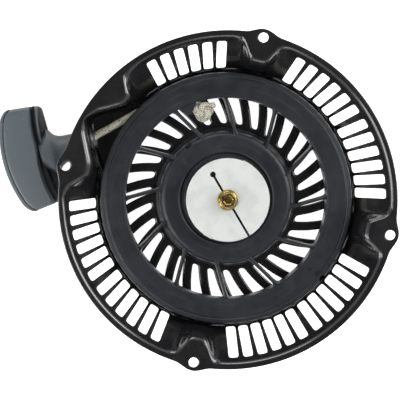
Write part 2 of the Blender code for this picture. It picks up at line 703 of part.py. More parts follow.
def grip_section(v):
    """Half of the grip's section at v: (u, w) from the finger side round to the palm."""
    across = abs(v) / GRIP_HALF_LENGTH
    crown = palm_line(v) - CAP_THICKNESS - GAP
    finger = 27.0 + 6.0 * max(0.0, across - 0.28)
    shoulder = 37.2
    end = max(0.0, across - 0.955) / 0.045
    thick = GRIP_HALF_THICK * (1.0 - 0.16 * end)
    return [(finger + 1.5 * end, 0.42 * thick), (finger + 2.2, 0.62 * thick), (shoulder - 1.2, 0.90 * thick),
            (shoulder, thick), (crown - 1.2, thick), (crown, thick - 1.2)]


def make_grip():
    stations = [-1.0, -0.96, -0.8, -0.55, -0.28, 0.0, 0.28, 0.55, 0.8, 0.96, 1.0]
    shape = bmesh.new()
    loops = []
    for station in stations:
        v = station * GRIP_HALF_LENGTH
        half = grip_section(v)
        ring = half + [(u, -w) for u, w in reversed(half)]
        loops.append([shape.verts.new(pull_point(u, v, w) * MM) for u, w in ring])
    count = len(loops[0])
    for before, after in zip(loops, loops[1:]):
        for i in range(count):
            j = (i + 1) % count
            shape.faces.new((before[i], before[j], after[j], after[i]))
    shape.faces.new(loops[0])
    shape.faces.new(loops[-1])
    grip = from_bmesh("handle_grip", shape, look=GRIP_PLASTIC)

    neck = bmesh.new()
    rod(neck, pull_point(NECK_START), pull_point(40.0), NECK_RADIUS - 0.6, 24, NECK_RADIUS + 0.6)
    boolean(grip, from_bmesh("handle_neck", neck, CUTTERS), "UNION")
    bore = bmesh.new()
    rod(bore, pull_point(NECK_START - 5), pull_point(KNOT_POCKET_START + 3), ROPE_BORE, 16)
    boolean(grip, from_bmesh("handle_bore", bore, CUTTERS))
    pocket = bmesh.new()
    rod(pocket, pull_point(KNOT_POCKET_START), pull_point(GRIP_CROWN + 5), KNOT_POCKET_RADIUS, 24)
    boolean(grip, from_bmesh("knot_pocket", pocket, CUTTERS))


def make_cap():
    """The curved plate that closes the palm side of the grip."""
    reach = GRIP_HALF_LENGTH - 0.2
    outline = []
    steps = 12
    for i in range(steps + 1):
        v = reach * (2 * i / steps - 1)
        outline.append((palm_line(v), v))
    inner = [(u - CAP_THICKNESS, v) for u, v in reversed(outline)]
    shape = bmesh.new()
    verts = [shape.verts.new(pull_point(u, v, 1.2 - GRIP_HALF_THICK) * MM) for u, v in outline + inner]
    base = shape.faces.new(verts)
    raised = bmesh.ops.extrude_face_region(shape, geom=[base])["geom"]
    lifted = [part for part in raised if isinstance(part, bmesh.types.BMVert)]
    bmesh.ops.translate(shape, verts=lifted, vec=(0.0, 0.0, 2 * (GRIP_HALF_THICK - 1.2) * MM))
    from_bmesh("handle_cap", shape, look=GRIP_PLASTIC)


def make_handle_fittings():
    start = KNOT_POCKET_START + GAP
    washer = turned("handle_washer", [(ROPE_BORE + 0.2, 1.4), (7.6, 1.4), (7.6, 0.0), (ROPE_BORE + 0.2, 0.0)],
                    20, look=BRIGHT_STEEL)
    pull = Vector((*polar(1.0, PULL_ANGLE), 0.0))
    washer.rotation_euler = pull.to_track_quat("Z", "Y").to_euler()
    washer.location = pull_point(start) * MM
    shape = bmesh.new()
    squash = Matrix.Diagonal((1.0, 1.0, 0.95, 1.0))
    place = Matrix.Translation(pull_point(start + 1.8 + KNOT_RADIUS) * MM) @ squash
    bmesh.ops.create_uvsphere(shape, u_segments=12, v_segments=8, radius=KNOT_RADIUS * MM, matrix=place)
    from_bmesh("handle_knot", shape, look=ROPE_FIBRE)


make_case()
make_rope_guide()
make_post()
make_screw()
make_thrust_washer()
make_reel()
make_bush()
make_winding()
make_anchor_knot()
make_mainspring()
make_ratchet_guide()
make_pawls()
make_friction_spring()
make_rope()
make_grip()
make_cap()
make_handle_fittings()
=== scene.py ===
"""Looks of a small engine's recoil starter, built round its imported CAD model.

Lengths are in millimetres until they reach a mesh. The reel's axis is Z, the origin is
on the case's outer face, and the open side of the case looks up at the camera.
"""

from math import acos, atan2, cos, hypot, pi, radians, sin, tau

import bmesh
import bpy
import numpy as np
from mathutils import Matrix, Vector


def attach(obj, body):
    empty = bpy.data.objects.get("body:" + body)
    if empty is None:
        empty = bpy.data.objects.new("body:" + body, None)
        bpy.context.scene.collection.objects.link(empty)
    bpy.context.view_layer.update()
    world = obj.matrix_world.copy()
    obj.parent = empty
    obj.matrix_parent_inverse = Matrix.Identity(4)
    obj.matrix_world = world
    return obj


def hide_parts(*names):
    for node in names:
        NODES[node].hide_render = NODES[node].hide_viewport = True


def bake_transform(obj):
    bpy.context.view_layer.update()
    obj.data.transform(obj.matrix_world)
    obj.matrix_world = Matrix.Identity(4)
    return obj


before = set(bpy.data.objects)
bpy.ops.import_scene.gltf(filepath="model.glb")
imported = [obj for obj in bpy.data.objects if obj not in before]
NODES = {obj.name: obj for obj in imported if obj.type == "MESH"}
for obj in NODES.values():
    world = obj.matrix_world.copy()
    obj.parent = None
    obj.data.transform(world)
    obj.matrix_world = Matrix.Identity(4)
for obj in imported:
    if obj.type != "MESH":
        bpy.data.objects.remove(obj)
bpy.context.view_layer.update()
MM = 0.001

# Case: near the CAD's sizes, with the fuller bends of real sheet
SHEET = 1.2
CASE_HEIGHT = 48.0
FLANGE_RADIUS = 112.5
FOLD_RADIUS = 106.8
BEND = 3.0  # how far the flange's bend reaches outward
EAR_BEND = 5.2  # the same round the ears
POCKET_BEND = 7.0  # and round the rope's pocket
BEND_BLEND = 3.0  # degrees over which the bend widens
BEND_DROP = 0.55  # how much lower the wall starts, a millimetre of wider bend
EAR_REACH = 10.5  # degrees either side of an ear that its bend takes
POCKET_REACH = (122.5, 178.5)  # degrees that the pocket's bend takes
RIM_MARGIN = 2.2  # flat metal left outside the widest bend
WALL_FOOT_RADIUS = 87.6
KNEE_STEP = 0.5  # from the wall's foot out to its knee
KNEE_Z = 10.5
WALL_TOP_Z = 45.0
HOLE_CIRCLE = 110.0
HOLE_RADIUS = 3.25
EAR_ANGLES = (77.9, 167.9, 257.9, 347.9)
EAR_RISE = 3.3
EAR_HALF_ANGLE = 5.5
EAR_CELL = 2.8  # half angle of the patch round an ear's hole
LOBE = ((0.0, 92.6), (3.0, 92.8), (4.2, 94.8), (5.0, 98.8), (6.3, 103.4), (8.0, 106.0), (10.0, FOLD_RADIUS))
OUTLET_WALL_ANGLE = 191.6
OUTLET_WALL_DISTANCE = 82.8
OUTLET_WALL_SPAN = (151.3, 163.2)
POCKET_BEFORE = ((122.5, FOLD_RADIUS), (126.3, 106.0), (129.2, 104.3), (131.2, 100.2),
                 (132.7, 94.6), (134.7, 93.0), (137.6, 93.4), (142.0, 98.4), (145.6, 103.9), (149.3, 108.3))
POCKET_AFTER = ((165.6, 92.7), (168.6, 92.8), (170.6, 94.4), (173.0, 100.0), (175.4, 105.4), (178.0, 107.4),
                (183.5, FOLD_RADIUS))
POCKET_BLEND = (131.0, 138.0, 163.0, 171.0)
POCKET_LEAN = 0.6
OUTLET = Vector((-92.6, 40.2, 15.6))
OUTLET_HOLE_RADIUS = 6.1

# Slots
WALL_SLOT_WIDTH = 6.5
WALL_SLOT_CORNER = 1.5
WALL_SLOT_FIRST = 3.15  # degrees from a group's middle to its first slot
WALL_SLOT_ENDS = (105.1, 88.8)
WALL_SLOT_PITCH = 5.39
WALL_SLOT_SHIFT = -0.6
WALL_SLOTS_PER_GROUP = 6
FLOOR_SLOTS = 30
FLOOR_SLOT_ENDS = (77.0, 51.3)
FLOOR_RIB = 6.7
FLOOR_SLOT_SWIRL = 0.385  # degrees a millimetre
FLOOR_SLOT_PHASE = 6.6
FLOOR_BAND = (79.0, 49.3)  # the ring of floor that holds the slots
# (distance from a pierced edge, drop of the sheet there)
DIE_ROLL = ((1.3, 0.0), (0.8, 0.07), (0.35, 0.24), (0.0, 0.52))

# Reel
HUB_OUTER = 46.0
HUB_FACE_Z = 19.5
HUB_BOTTOM = 3.2
PEDESTAL_TOP = 33.0
SPRING_ROOF = 15.1
REEL_BORE = 9.3
RING_INNER = 68.5
RING_OUTER = 86.0
RING_TOP = 21.6
RING_BOTTOM = 9.6
SPOKES = 12
SPOKE_PHASE = 21.0
SPOKE_SWIRL = 9.5
SPOKE_WIDTH = 2.8
PAWL_PIVOT = (17.5, -7.0)  # radius, degrees
PAWL_WELL = (4.6, 4.5)  # radius and depth round each pawl's pin
PIN_HOLE = (2.3, 8.0)
# (radius, degrees, size, depth) of the dimples that moulding leaves in the ring
MOULD_MARKS = ((75.2, 319.6, 1.2, 0.5), (76.6, 321.4, 0.5, 0.5), (80.7, 320.2, 1.6, 0.7), (86.4, 320.2, 2.5, 2.2))

# Rope
ROPE_RADIUS = 2.5
ROPE_Z = 15.6
ROPE_LAYER = 80.5
ROPE_MOUTH = (-91.6, 41.2)
ANCHOR_HOLE = (69.4, 115.0)
ANCHOR_KNOT = (61.4, 104.8)
BRAID_PITCH = 9.0  # length along the rope of one turn of a strand
BRAID_STRANDS = 8

# Centre
GUIDE_RADIUS = 27.9
GUIDE_BOTTOM = 39.3
GUIDE_TOP = 41.5
GUIDE_BOSS_BOTTOM = PEDESTAL_TOP + 1.6
CAM_LUG = (17.0, 81.4, 2.2)  # circle, degrees and radius of the lugs under the disc
SLIT_ANGLE = 120.4
SLIT_WIDTH = 1.5
SLIT_HOLE_DISTANCE = 19.7
SLIT_HOLE_RADIUS = 1.95

# Handle: u along the pull, v along the grip, w up
PULL_ANGLE = 195.5
HANDLE_ORIGIN = (-90.5, 39.2)
NECK_START = 5.8
GRIP_HALF_LENGTH = 35.6
GRIP_CROWN = 62.3
GRIP_ARC = 80.0
CAP_THICKNESS = 2.6
GRIP_HALF_THICK = 13.4
KNOT_POCKET_START = 41.0
END_SLANT = 0.0033  # how much the grip narrows towards the fingers, a millimetre
SLANT_START = 51.0
FINGER_SIDE = 27.9
# (v, u) where the grip's broad face ends on the finger side
FACE_EDGE = ((-36.0, 37.4), (-30.0, 38.4), (-23.0, 39.8), (-14.0, 40.5), (-6.0, 40.3), (0.0, 39.6), (5.0, 39.0),
             (14.0, 39.2), (23.0, 38.5), (33.0, 36.7), (36.0, 36.1))
FINGER_CORNER = 3.4  # radius of the grip's corners on the finger side


# ---- geometry helpers
def polar(radius, degrees):
    angle = radians(degrees)
    return radius * cos(angle), radius * sin(angle)


def swung(x, y, degrees):
    c, s = polar(1.0, degrees)
    return x * c - y * s, x * s + y * c


def smooth(share):
    """A share held between 0 and 1, eased at both ends."""
    share = max(0.0, min(1.0, share))
    return share * share * (3 - 2 * share)


def aim(place, direction):
    """The move that takes a piece made along Z to a place, pointing in a direction."""
    return Matrix.Translation(place * MM) @ direction.to_track_quat("Z", "Y").to_matrix().to_4x4()


def rounded(corners, segments=4):
    """A closed outline of (a, b, ease) corners, each eased from and to that distance away."""
    result = []
    for i, (a, b, ease) in enumerate(corners):
        corner = Vector((a, b))
        before = Vector(corners[i - 1][:2]) - corner
        after = Vector(corners[(i + 1) % len(corners)][:2]) - corner
        if not ease:
            result.append(tuple(corner))
            continue
        start = corner + before.normalized() * min(ease, before.length / 2)
        end = corner + after.normalized() * min(ease, after.length / 2)
        for k in range(segments + 1):
            t = k / segments
            result.append(tuple((1 - t) ** 2 * start + 2 * t * (1 - t) * corner + t ** 2 * end))
    return result


def add_object(name, data):
    item = bpy.data.objects.new(name, data)
    bpy.context.scene.collection.objects.link(item)
    return item


def mesh_from(name, verts, faces):
    mesh = bpy.data.meshes.new(name)
    mesh.from_pydata([tuple(Vector(v) * MM) for v in verts], [], faces)
    return add_object(name, mesh)


def tidy_mesh(item, weld=0.000002, sharp=32.0):
    """Weld, point the faces outward and smooth all but the sharp edges."""
    shape = bmesh.new()
    shape.from_mesh(item.data)
    if weld:
        bmesh.ops.remove_doubles(shape, verts=shape.verts, dist=weld)
        bmesh.ops.dissolve_degenerate(shape, edges=shape.edges, dist=weld)
    bmesh.ops.recalc_face_normals(shape, faces=shape.faces)
    shape.to_mesh(item.data)
    shape.free()
    item.data.shade_smooth()
    if sharp:
        item.data.set_sharp_from_angle(angle=radians(sharp))
    return item


def settle(item):
    """Apply an object's modifiers."""
    bpy.context.view_layer.update()
    evaluated = item.evaluated_get(bpy.context.evaluated_depsgraph_get())
    mesh = bpy.data.meshes.new_from_object(evaluated)
    item.modifiers.clear()
    item.data = mesh
    return item


def even_shading(item):
    item.modifiers.new("even shading", "WEIGHTED_NORMAL").keep_sharp = True


def combine(item, *operands, operation="UNION"):
    for operand in operands:
        step = item.modifiers.new(operand.name, "BOOLEAN")
        step.object = operand
        step.operation = operation
        step.solver = "EXACT"
    settle(item)
    for operand in operands:
        bpy.data.objects.remove(operand, do_unlink=True)
    return item


def strips(rings, count, closed=False):
    """Faces between neighbouring rings of count points; closed joins the last ring to the first."""
    for i in range(rings if closed else rings - 1):
        here, there = i * count, (i + 1) % rings * count
        for k in range(count):
            n = (k + 1) % count
            yield here + k, here + n, there + n, there + k


def revolve(name, profile, steps):
    """A closed body of revolution from a closed (radius, z) outline."""
    verts, count = [], len(profile)
    for i in range(steps):
        c, s = cos(tau * i / steps), sin(tau * i / steps)
        verts += [(radius * c, radius * s, z) for radius, z in profile]
    faces = [face for face in strips(steps, count, True)
             if max(profile[face[0] % count][0], profile[face[1] % count][0]) >= 1e-6]
    return tidy_mesh(mesh_from(name, verts, faces))


def loft(name, rings):
    """A closed body through rings of equally many points, with flat ends."""
    count = len(rings[0])
    verts = [point for ring in rings for point in ring]
    ends = [tuple(range(count)), tuple(range(len(verts) - count, len(verts)))]
    faces = list(strips(len(rings), count)) + ends
    return tidy_mesh(mesh_from(name, verts, faces))


def prism(name, outline, low, high):
    return loft(name, [[(x, y, z) for x, y in outline] for z in (low, high)])


def cylinder(name, centre, radius, low, high, sides=32):
    ring = [polar(radius, 360 * k / sides) for k in range(sides)]
    return prism(name, [(centre[0] + x, centre[1] + y) for x, y in ring], low, high)


def dress(item, look, body, slot, *nodes):
    """Give a finished piece its material and its body, and hide the CAD nodes that it stands for."""
    item.data.materials.clear()
    item.data.materials.append(look)
    if body:
        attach(item, body)
    if nodes:
        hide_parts(*nodes)
    return item


# ---- materials
def put(node, values):
    """Set a node's inputs by name."""
    for name, value in values.items():
        node.inputs[name].default_value = value


class Look:
    """A node material round one Principled shader, built a node at a time."""

    def __init__(self, name, roughness, metallic=0.0):
        self.material = bpy.data.materials.new(name)
        self.material.use_nodes = True
        self.tree = self.material.node_tree
        self.shader = self.tree.nodes["Principled BSDF"]
        put(self.shader, {"Roughness": roughness, "Metallic": metallic})
        self.place = self.node("TexCoord").outputs["Object"]

    def node(self, kind, **settings):
        made = self.tree.nodes.new("ShaderNode" + kind)
        for key, value in settings.items():
            setattr(made, key, value)
        return made

    def link(self, source, target):
        self.tree.links.new(source, target)
        return target

    def split(self, source):
        made = self.node("SeparateXYZ")
        self.link(source, made.inputs[0])
        return made.outputs

    def base(self):
        return self.shader.inputs["Base Color"].links[0].from_socket

    def math(self, operation, first, second=None):
        made = self.node("Math", operation=operation)
        for slot, value in zip(made.inputs, (first, second)):
            if isinstance(value, (int, float)):
                slot.default_value = value
            elif value is not None:
                self.link(value, slot)
        return made.outputs[0]

    def noise(self, scale, detail=3.0, roughness=0.5, where=None):
        made = self.node("TexNoise")
        put(made, {"Scale": scale, "Detail": detail, "Roughness": roughness})
        self.link(where or self.place, made.inputs["Vector"])
        return made.outputs["Fac"]

    def remap(self, source, low, high, to_low=0.0, to_high=1.0):
        made = self.node("MapRange")
        put(made, {"From Min": low, "From Max": high, "To Min": to_low, "To Max": to_high})
        self.link(source, made.inputs["Value"])
        return made.outputs["Result"]

    def mix(self, share, first, second):
        made = self.node("Mix", data_type="RGBA")
        self.link(share, made.inputs[0])
        for slot, value in ((made.inputs[6], first), (made.inputs[7], second)):
            if isinstance(value, tuple):
                slot.default_value = (*value, 1.0)
            else:
                self.link(value, slot)
        return made.outputs[2]

    def colour(self, source):
        self.link(source, self.shader.inputs["Base Color"])

    def rough(self, source):
        self.link(source, self.shader.inputs["Roughness"])

    def bump(self, height, depth_mm):
        made = self.node("Bump")
        put(made, {"Strength": 1.0, "Distance": depth_mm * MM})
        self.link(height, made.inputs["Height"])
        normal = self.shader.inputs["Normal"]
        if normal.links:
            self.link(normal.links[0].from_socket, made.inputs["Normal"])
        self.link(made.outputs["Normal"], normal)


def case_paint():
    look = Look("case paint", 0.2)
    cloud = look.noise(28.0, 4.0)
    speck = look.remap(look.noise(900.0, 2.0), 0.66, 0.74)
    base = look.mix(cloud, (0.0060, 0.0062, 0.0075), (0.0105, 0.0100, 0.0110))
    look.colour(look.mix(speck, base, (0.03, 0.03, 0.031)))
    look.rough(look.remap(look.noise(65.0, 5.0), 0.3, 0.7, 0.20, 0.32))
    put(look.shader, {"Coat Weight": 0.8, "Coat IOR": 1.7, "Coat Roughness": 0.14})
    look.bump(look.noise(420.0, 2.0), 0.012)
    look.bump(look.noise(90.0, 2.0), 0.03)
    return look.material


def moulded_plastic(name, dark, light, roughness, grain_scale, grain_depth):
    look = Look(name, roughness)
    flow = look.noise(45.0, 4.0)
    dust = look.remap(look.noise(1100.0, 2.0), 0.67, 0.76)
    base = look.mix(look.remap(flow, 0.3, 0.7), dark, light)
    look.colour(look.mix(dust, base, tuple(3.0 * c for c in light)))
    look.rough(look.remap(look.noise(160.0, 4.0), 0.3, 0.7, roughness - 0.06, roughness + 0.08))
    look.bump(look.noise(grain_scale, 3.0), grain_depth)
    return look


def swirl_reel(look):
    """Faint rings of flow and wear run round the reel, broken up along their length."""
    x, y, _ = look.split(look.place)
    square = look.math("ADD", look.math("MULTIPLY", x, x), look.math("MULTIPLY", y, y))
    spread = look.node("CombineXYZ")
    look.link(look.math("SQRT", square), spread.inputs["X"])
    for source, slot in ((x, "Y"), (y, "Z")):
        look.link(look.math("MULTIPLY", source, 0.06), spread.inputs[slot])
    rings = look.noise(620.0, 3.0, 0.55, spread.outputs[0])
    pale = look.remap(rings, 0.56, 0.74, 0.0, 0.55)
    look.colour(look.mix(pale, look.base(), (0.040, 0.044, 0.050)))
    look.bump(rings, 0.05)
    return look.material


def paint_grip_light_and_shade(look):
    """Painted light and shade: the faces above and below are lighter, more so towards -y; the finger side near
    mid-height is painted dark as shade.
    """
    _, y, z = look.split(look.place)
    height = look.math("ABSOLUTE", look.math("SUBTRACT", z, ROPE_Z * MM))
    height = look.math("ADD", height, look.math("MULTIPLY", look.noise(120.0, 3.0), 1.2 * MM))
    # painted shade near the grip's mid-height, painted light on the faces above and below
    face_light_share = look.remap(height, 6.0 * MM, 8.8 * MM)
    # painted light: the faces grow lighter and bluer towards -y
    painted_lit_face = look.mix(look.remap(y, 0.055, -0.005, 0.0, 0.6), look.base(), (0.115, 0.135, 0.150))
    look.colour(look.mix(face_light_share, (0.009, 0.011, 0.014), painted_lit_face))
    put(look.shader, {"Specular IOR Level": 0.8})
    return look.material


def nylon():
    """Off-white nylon, with soft noise patches of painted shade for the parts below that show through it."""
    look = Look("white nylon", 0.34)
    put(look.shader, {"Subsurface Weight": 0.12, "Subsurface Scale": 0.002, "Subsurface Radius": (1.0, 0.95, 0.85)})
    x, y, _ = look.split(look.place)
    flat = look.node("CombineXYZ")
    look.link(x, flat.inputs["X"])
    look.link(y, flat.inputs["Y"])
    # painted shade: soft darker patches for the parts seen through the nylon
    patch = look.remap(look.noise(95.0, 2.0, 0.4, flat.outputs[0]), 0.44, 0.62)
    mottle = look.noise(700.0, 3.0)
    base = look.mix(mottle, (0.60, 0.615, 0.60), (0.68, 0.695, 0.675))
    look.colour(look.mix(look.math("MULTIPLY", patch, 0.3), base, (0.42, 0.445, 0.43)))
    look.rough(look.remap(look.noise(240.0), 0.3, 0.7, 0.28, 0.42))
    look.bump(look.noise(500.0, 3.0), 0.015)
    return look.material


def braided():
    """Two sets of strands wind opposite ways round the rope, by its own length and angle."""
    look = Look("rope fibre", 0.82)
    turns, length, _ = look.split(look.node("UVMap", uv_map="rope").outputs["UV"])
    turns = look.math("MULTIPLY", turns, float(BRAID_STRANDS))
    along = look.math("MULTIPLY", length, BRAID_STRANDS / (BRAID_PITCH * MM))
    waves = []
    for operation in ("ADD", "SUBTRACT"):
        angle = look.math("MULTIPLY", look.math(operation, turns, along), pi)
        waves.append(look.math("ABSOLUTE", look.math("SINE", angle)))
    weave = look.math("MULTIPLY", waves[0], waves[1])
    fibre = look.noise(2600.0, 3.0)
    fleck = look.remap(look.noise(420.0, 2.0, 0.6), 0.60, 0.68)
    cream = look.mix(fibre, (0.70, 0.66, 0.50), (0.92, 0.90, 0.78))
    # painted shade darkens the gaps between the strands
    painted_gap_shade = look.mix(look.remap(weave, 0.02, 0.30), (0.16, 0.14, 0.085), cream)
    look.colour(look.mix(fleck, painted_gap_shade, (0.10, 0.095, 0.07)))
    put(look.shader, {"Sheen Weight": 0.3})
    look.bump(weave, 0.35)
    look.bump(fibre, 0.06)
    return look.material


def plated(name, dull, bright, roughness):
    look = Look(name, roughness, 1.0)
    stain = look.noise(190.0, 4.0)
    look.colour(look.mix(look.remap(stain, 0.3, 0.7), dull, bright))
    look.rough(look.remap(look.noise(600.0, 4.0), 0.3, 0.7, roughness - 0.07, roughness + 0.12))
    look.bump(look.noise(1500.0, 2.0), 0.006)
    return look.material


PAINT = case_paint()
REEL_PLASTIC = swirl_reel(moulded_plastic("reel plastic", (0.0105, 0.013, 0.0165), (0.0185, 0.0215, 0.0265),
                                          0.40, 700.0, 0.012))
GRIP_PLASTIC = paint_grip_light_and_shade(moulded_plastic("grip plastic", (0.052, 0.069, 0.083), (0.068, 0.086, 0.100),
                                          0.50, 1500.0, 0.02))
NYLON = nylon()
FIBRE = braided()
ZINC = plated("yellow zinc", (0.24, 0.17, 0.045), (0.56, 0.43, 0.16), 0.24)
BRIGHT = plated("bright steel", (0.11, 0.11, 0.12), (0.27, 0.27, 0.28), 0.40)
SPRING = plated("spring steel", (0.13, 0.14, 0.17), (0.30, 0.30, 0.31), 0.32)
BRONZE = plated("bronze", (0.38, 0.24, 0.11), (0.62, 0.44, 0.22), 0.38)


# ---- case
def softened(points, blur):
    """Radius by degrees along a closed outline whose corners are eased over blur degrees."""
    step, reach = 0.2, 20
    grid = np.arange(0.0, 360.0, step)
    known = np.array(sorted(points))
    raw = np.interp(grid, known[:, 0], known[:, 1], period=360.0)
    weights = np.exp(-0.5 * (np.arange(-reach, reach + 1) * step / blur) ** 2)
    eased = sum(w * np.roll(raw, k) for w, k in zip(weights, range(-reach, reach + 1))) / weights.sum()
    return lambda degrees: float(np.interp(degrees, grid, eased, period=360.0))


def fold_points():
    points = list(POCKET_BEFORE + POCKET_AFTER)
    points += [(degrees, OUTLET_WALL_DISTANCE / cos(radians(degrees - OUTLET_WALL_ANGLE)))
               for degrees in np.linspace(*OUTLET_WALL_SPAN, 12)]
    return points + [((ear + side * offset) % 360, radius) for ear in EAR_ANGLES[:1] + EAR_ANGLES[2:]
                     for offset, radius in LOBE for side in (-1, 1)]


def rim_points():
    return [((ear + side * offset) % 360, FLANGE_RADIUS + rise) for ear in EAR_ANGLES for side in (-1, 1)
            for offset, rise in ((20.0, 0.0), (EAR_HALF_ANGLE, 0.0), (1.1, EAR_RISE))]


fold_at = softened(fold_points(), 0.75)
rim_at = softened(rim_points(), 0.8)


def foot_at(degrees):
    start, full, fade, end = POCKET_BLEND
    weight = smooth(min((degrees - start) / (full - start), (end - degrees) / (end - fade)))
    return WALL_FOOT_RADIUS + weight * max(0.0, fold_at(degrees) - POCKET_LEAN - WALL_FOOT_RADIUS)


def bend_at(degrees):
    """How far the flange's bend reaches outward: wider round the ears and the rope's pocket."""
    nearest = min(abs((degrees - ear + 180) % 360 - 180) for ear in EAR_ANGLES)
    wanted = BEND
    into_pocket = min(degrees - POCKET_REACH[0], POCKET_REACH[1] - degrees)
    for margin, wide in ((EAR_REACH - nearest, EAR_BEND), (into_pocket, POCKET_BEND)):
        wanted = max(wanted, BEND + (wide - BEND) * smooth(margin / BEND_BLEND))
    return min(wanted, rim_at(degrees) - RIM_MARGIN - fold_at(degrees))


def bezier(a, b, c, count):
    """Points of a curve from a to c that leaves and arrives along its middle point b."""
    a, b, c = Vector(a), Vector(b), Vector(c)
    return [(1 - t) ** 2 * a + 2 * t * (1 - t) * b + t * t * c for t in (k / count for k in range(1, count + 1))]


FLANGE_ROWS = 10
EAR_CELL_ROWS = 7  # rows of the flange that the patch round an ear's hole takes
BEND_ROWS = 8
WALL_ROWS = 16
RIM_ROWS = 3
FIRST_WALL_ROW = RIM_ROWS - 1 + FLANGE_ROWS + BEND_ROWS


def case_profile(degrees):
    """The upper face at one angle, from the rim to the flat floor, as (radius, z)."""
    rim, fold, foot = rim_at(degrees), fold_at(degrees), foot_at(degrees)
    rows = [Vector((rim, CASE_HEIGHT - 0.3)), Vector((rim - 0.18, CASE_HEIGHT - 0.07)),
            Vector((rim - 0.55, CASE_HEIGHT))]
    bend = bend_at(degrees)
    edge = Vector((fold + bend, CASE_HEIGHT))
    rows += [rows[2].lerp(edge, k / FLANGE_ROWS) for k in range(1, FLANGE_ROWS + 1)]
    top_z = WALL_TOP_Z - BEND_DROP * max(0.0, bend - BEND)
    knee = Vector((foot + KNEE_STEP, KNEE_Z))
    lean = (fold - knee.x) / (WALL_TOP_Z - knee.y)
    top = Vector((fold - lean * (WALL_TOP_Z - top_z), top_z))
    rows += bezier(edge, (fold + lean * (CASE_HEIGHT - WALL_TOP_Z), CASE_HEIGHT), top, BEND_ROWS)
    rows += [top.lerp(knee, k / WALL_ROWS) for k in range(1, WALL_ROWS + 1)]
    rows += [Vector((foot + 0.2, 8.0)), Vector((foot + 0.02, 6.4))]
    rows += bezier((foot, 5.8), (foot, SHEET), (foot - 4.8, SHEET), 7)
    inner = FLOOR_BAND[0] + 1.2
    rows += [rows[-1].lerp(Vector((inner, SHEET)), k / 3) for k in (1, 2, 3)]
    return rows


def case_cells():
    """Stretches of the rim's angle that hold a hole: (first, last, columns, kind, centre)."""
    cells = []
    for ear in EAR_ANGLES:
        cells.append((ear - EAR_CELL, ear + EAR_CELL, 8, "ear", ear))
        middle = ear + 45.0 + WALL_SLOT_SHIFT
        for side in (-1, 1):
            if ear == EAR_ANGLES[0] and side == 1:
                continue
            for k in range(WALL_SLOTS_PER_GROUP):
                centre = (middle + side * (WALL_SLOT_FIRST + WALL_SLOT_PITCH * k)) % 360
                cells.append((centre - WALL_SLOT_PITCH / 2, centre + WALL_SLOT_PITCH / 2, 6, "slot", centre))
    return sorted(cells)


def between(points, counts, place):
    """Points round a hole from its four rounded corners, closest together at the corners."""
    segments = 8
    dense = rounded(points, segments)
    middles = [i * (segments + 1) + segments // 2 for i in range(4)]
    loop = []
    for i, count in enumerate(counts):
        first, last = middles[i], middles[(i + 1) % 4]
        stretch = dense[first:last + 1] if last > first else dense[first:] + dense[:last + 1]
        lengths = np.cumsum([0.0] + [hypot(q[0] - p[0], q[1] - p[1]) for p, q in zip(stretch, stretch[1:])])
        for k in range(count):
            at = lengths[-1] * (1 - cos(pi * k / count)) / 2
            loop.append(place(*(float(np.interp(at, lengths, axis)) for axis in zip(*stretch))))
    return loop


def pierce(shape, border, hole, surface):
    """Fill between a border and a hole's outline, with the sheet rolled over at the edge."""
    before = border
    for distance, drop in DIE_ROLL:
        ring = []
        for vert, point in zip(border, hole):
            edge = Vector(point)
            away = vert.co.xy / MM - edge
            spot = edge + away.normalized() * min(distance, 0.7 * away.length * distance / DIE_ROLL[0][0])
            ring.append(shape.verts.new(surface(spot, drop) * MM))
        for i in range(len(ring)):
            j = (i + 1) % len(ring)
            shape.faces.new((before[i], before[j], ring[j], ring[i]))
        before = ring


def wall_surface(spot, drop):
    """The plain wall's inner face over a plan position, sunk by drop into the sheet."""
    knee = WALL_FOOT_RADIUS + KNEE_STEP
    rise = (WALL_TOP_Z - KNEE_Z) / (FOLD_RADIUS - knee)
    across = Vector((rise, -1.0)).normalized() * drop
    radius = spot.length
    scale = (radius + across.x) / radius
    return Vector((spot.x * scale, spot.y * scale, KNEE_Z + rise * (radius - knee) + across.y))


def zip_rings(shape, outer, inner):
    """Join two rings of different counts, both in order of angle, with triangles."""
    def angle(vert):
        return atan2(vert.co.y, vert.co.x) % tau

    outer = sorted(outer, key=angle)
    inner = sorted(inner, key=angle)
    i = j = 0
    while i < len(outer) or j < len(inner):
        a, b = outer[i % len(outer)], inner[j % len(inner)]
        next_a, next_b = outer[(i + 1) % len(outer)], inner[(j + 1) % len(inner)]
        turn_a = angle(next_a) + (tau if i + 1 >= len(outer) else 0.0)
        turn_b = angle(next_b) + (tau if j + 1 >= len(inner) else 0.0)
        if j >= len(inner) or (i < len(outer) and turn_a <= turn_b):
            shape.faces.new((a, next_a, b))
            i += 1
        else:
            shape.faces.new((a, next_b, b))
            j += 1


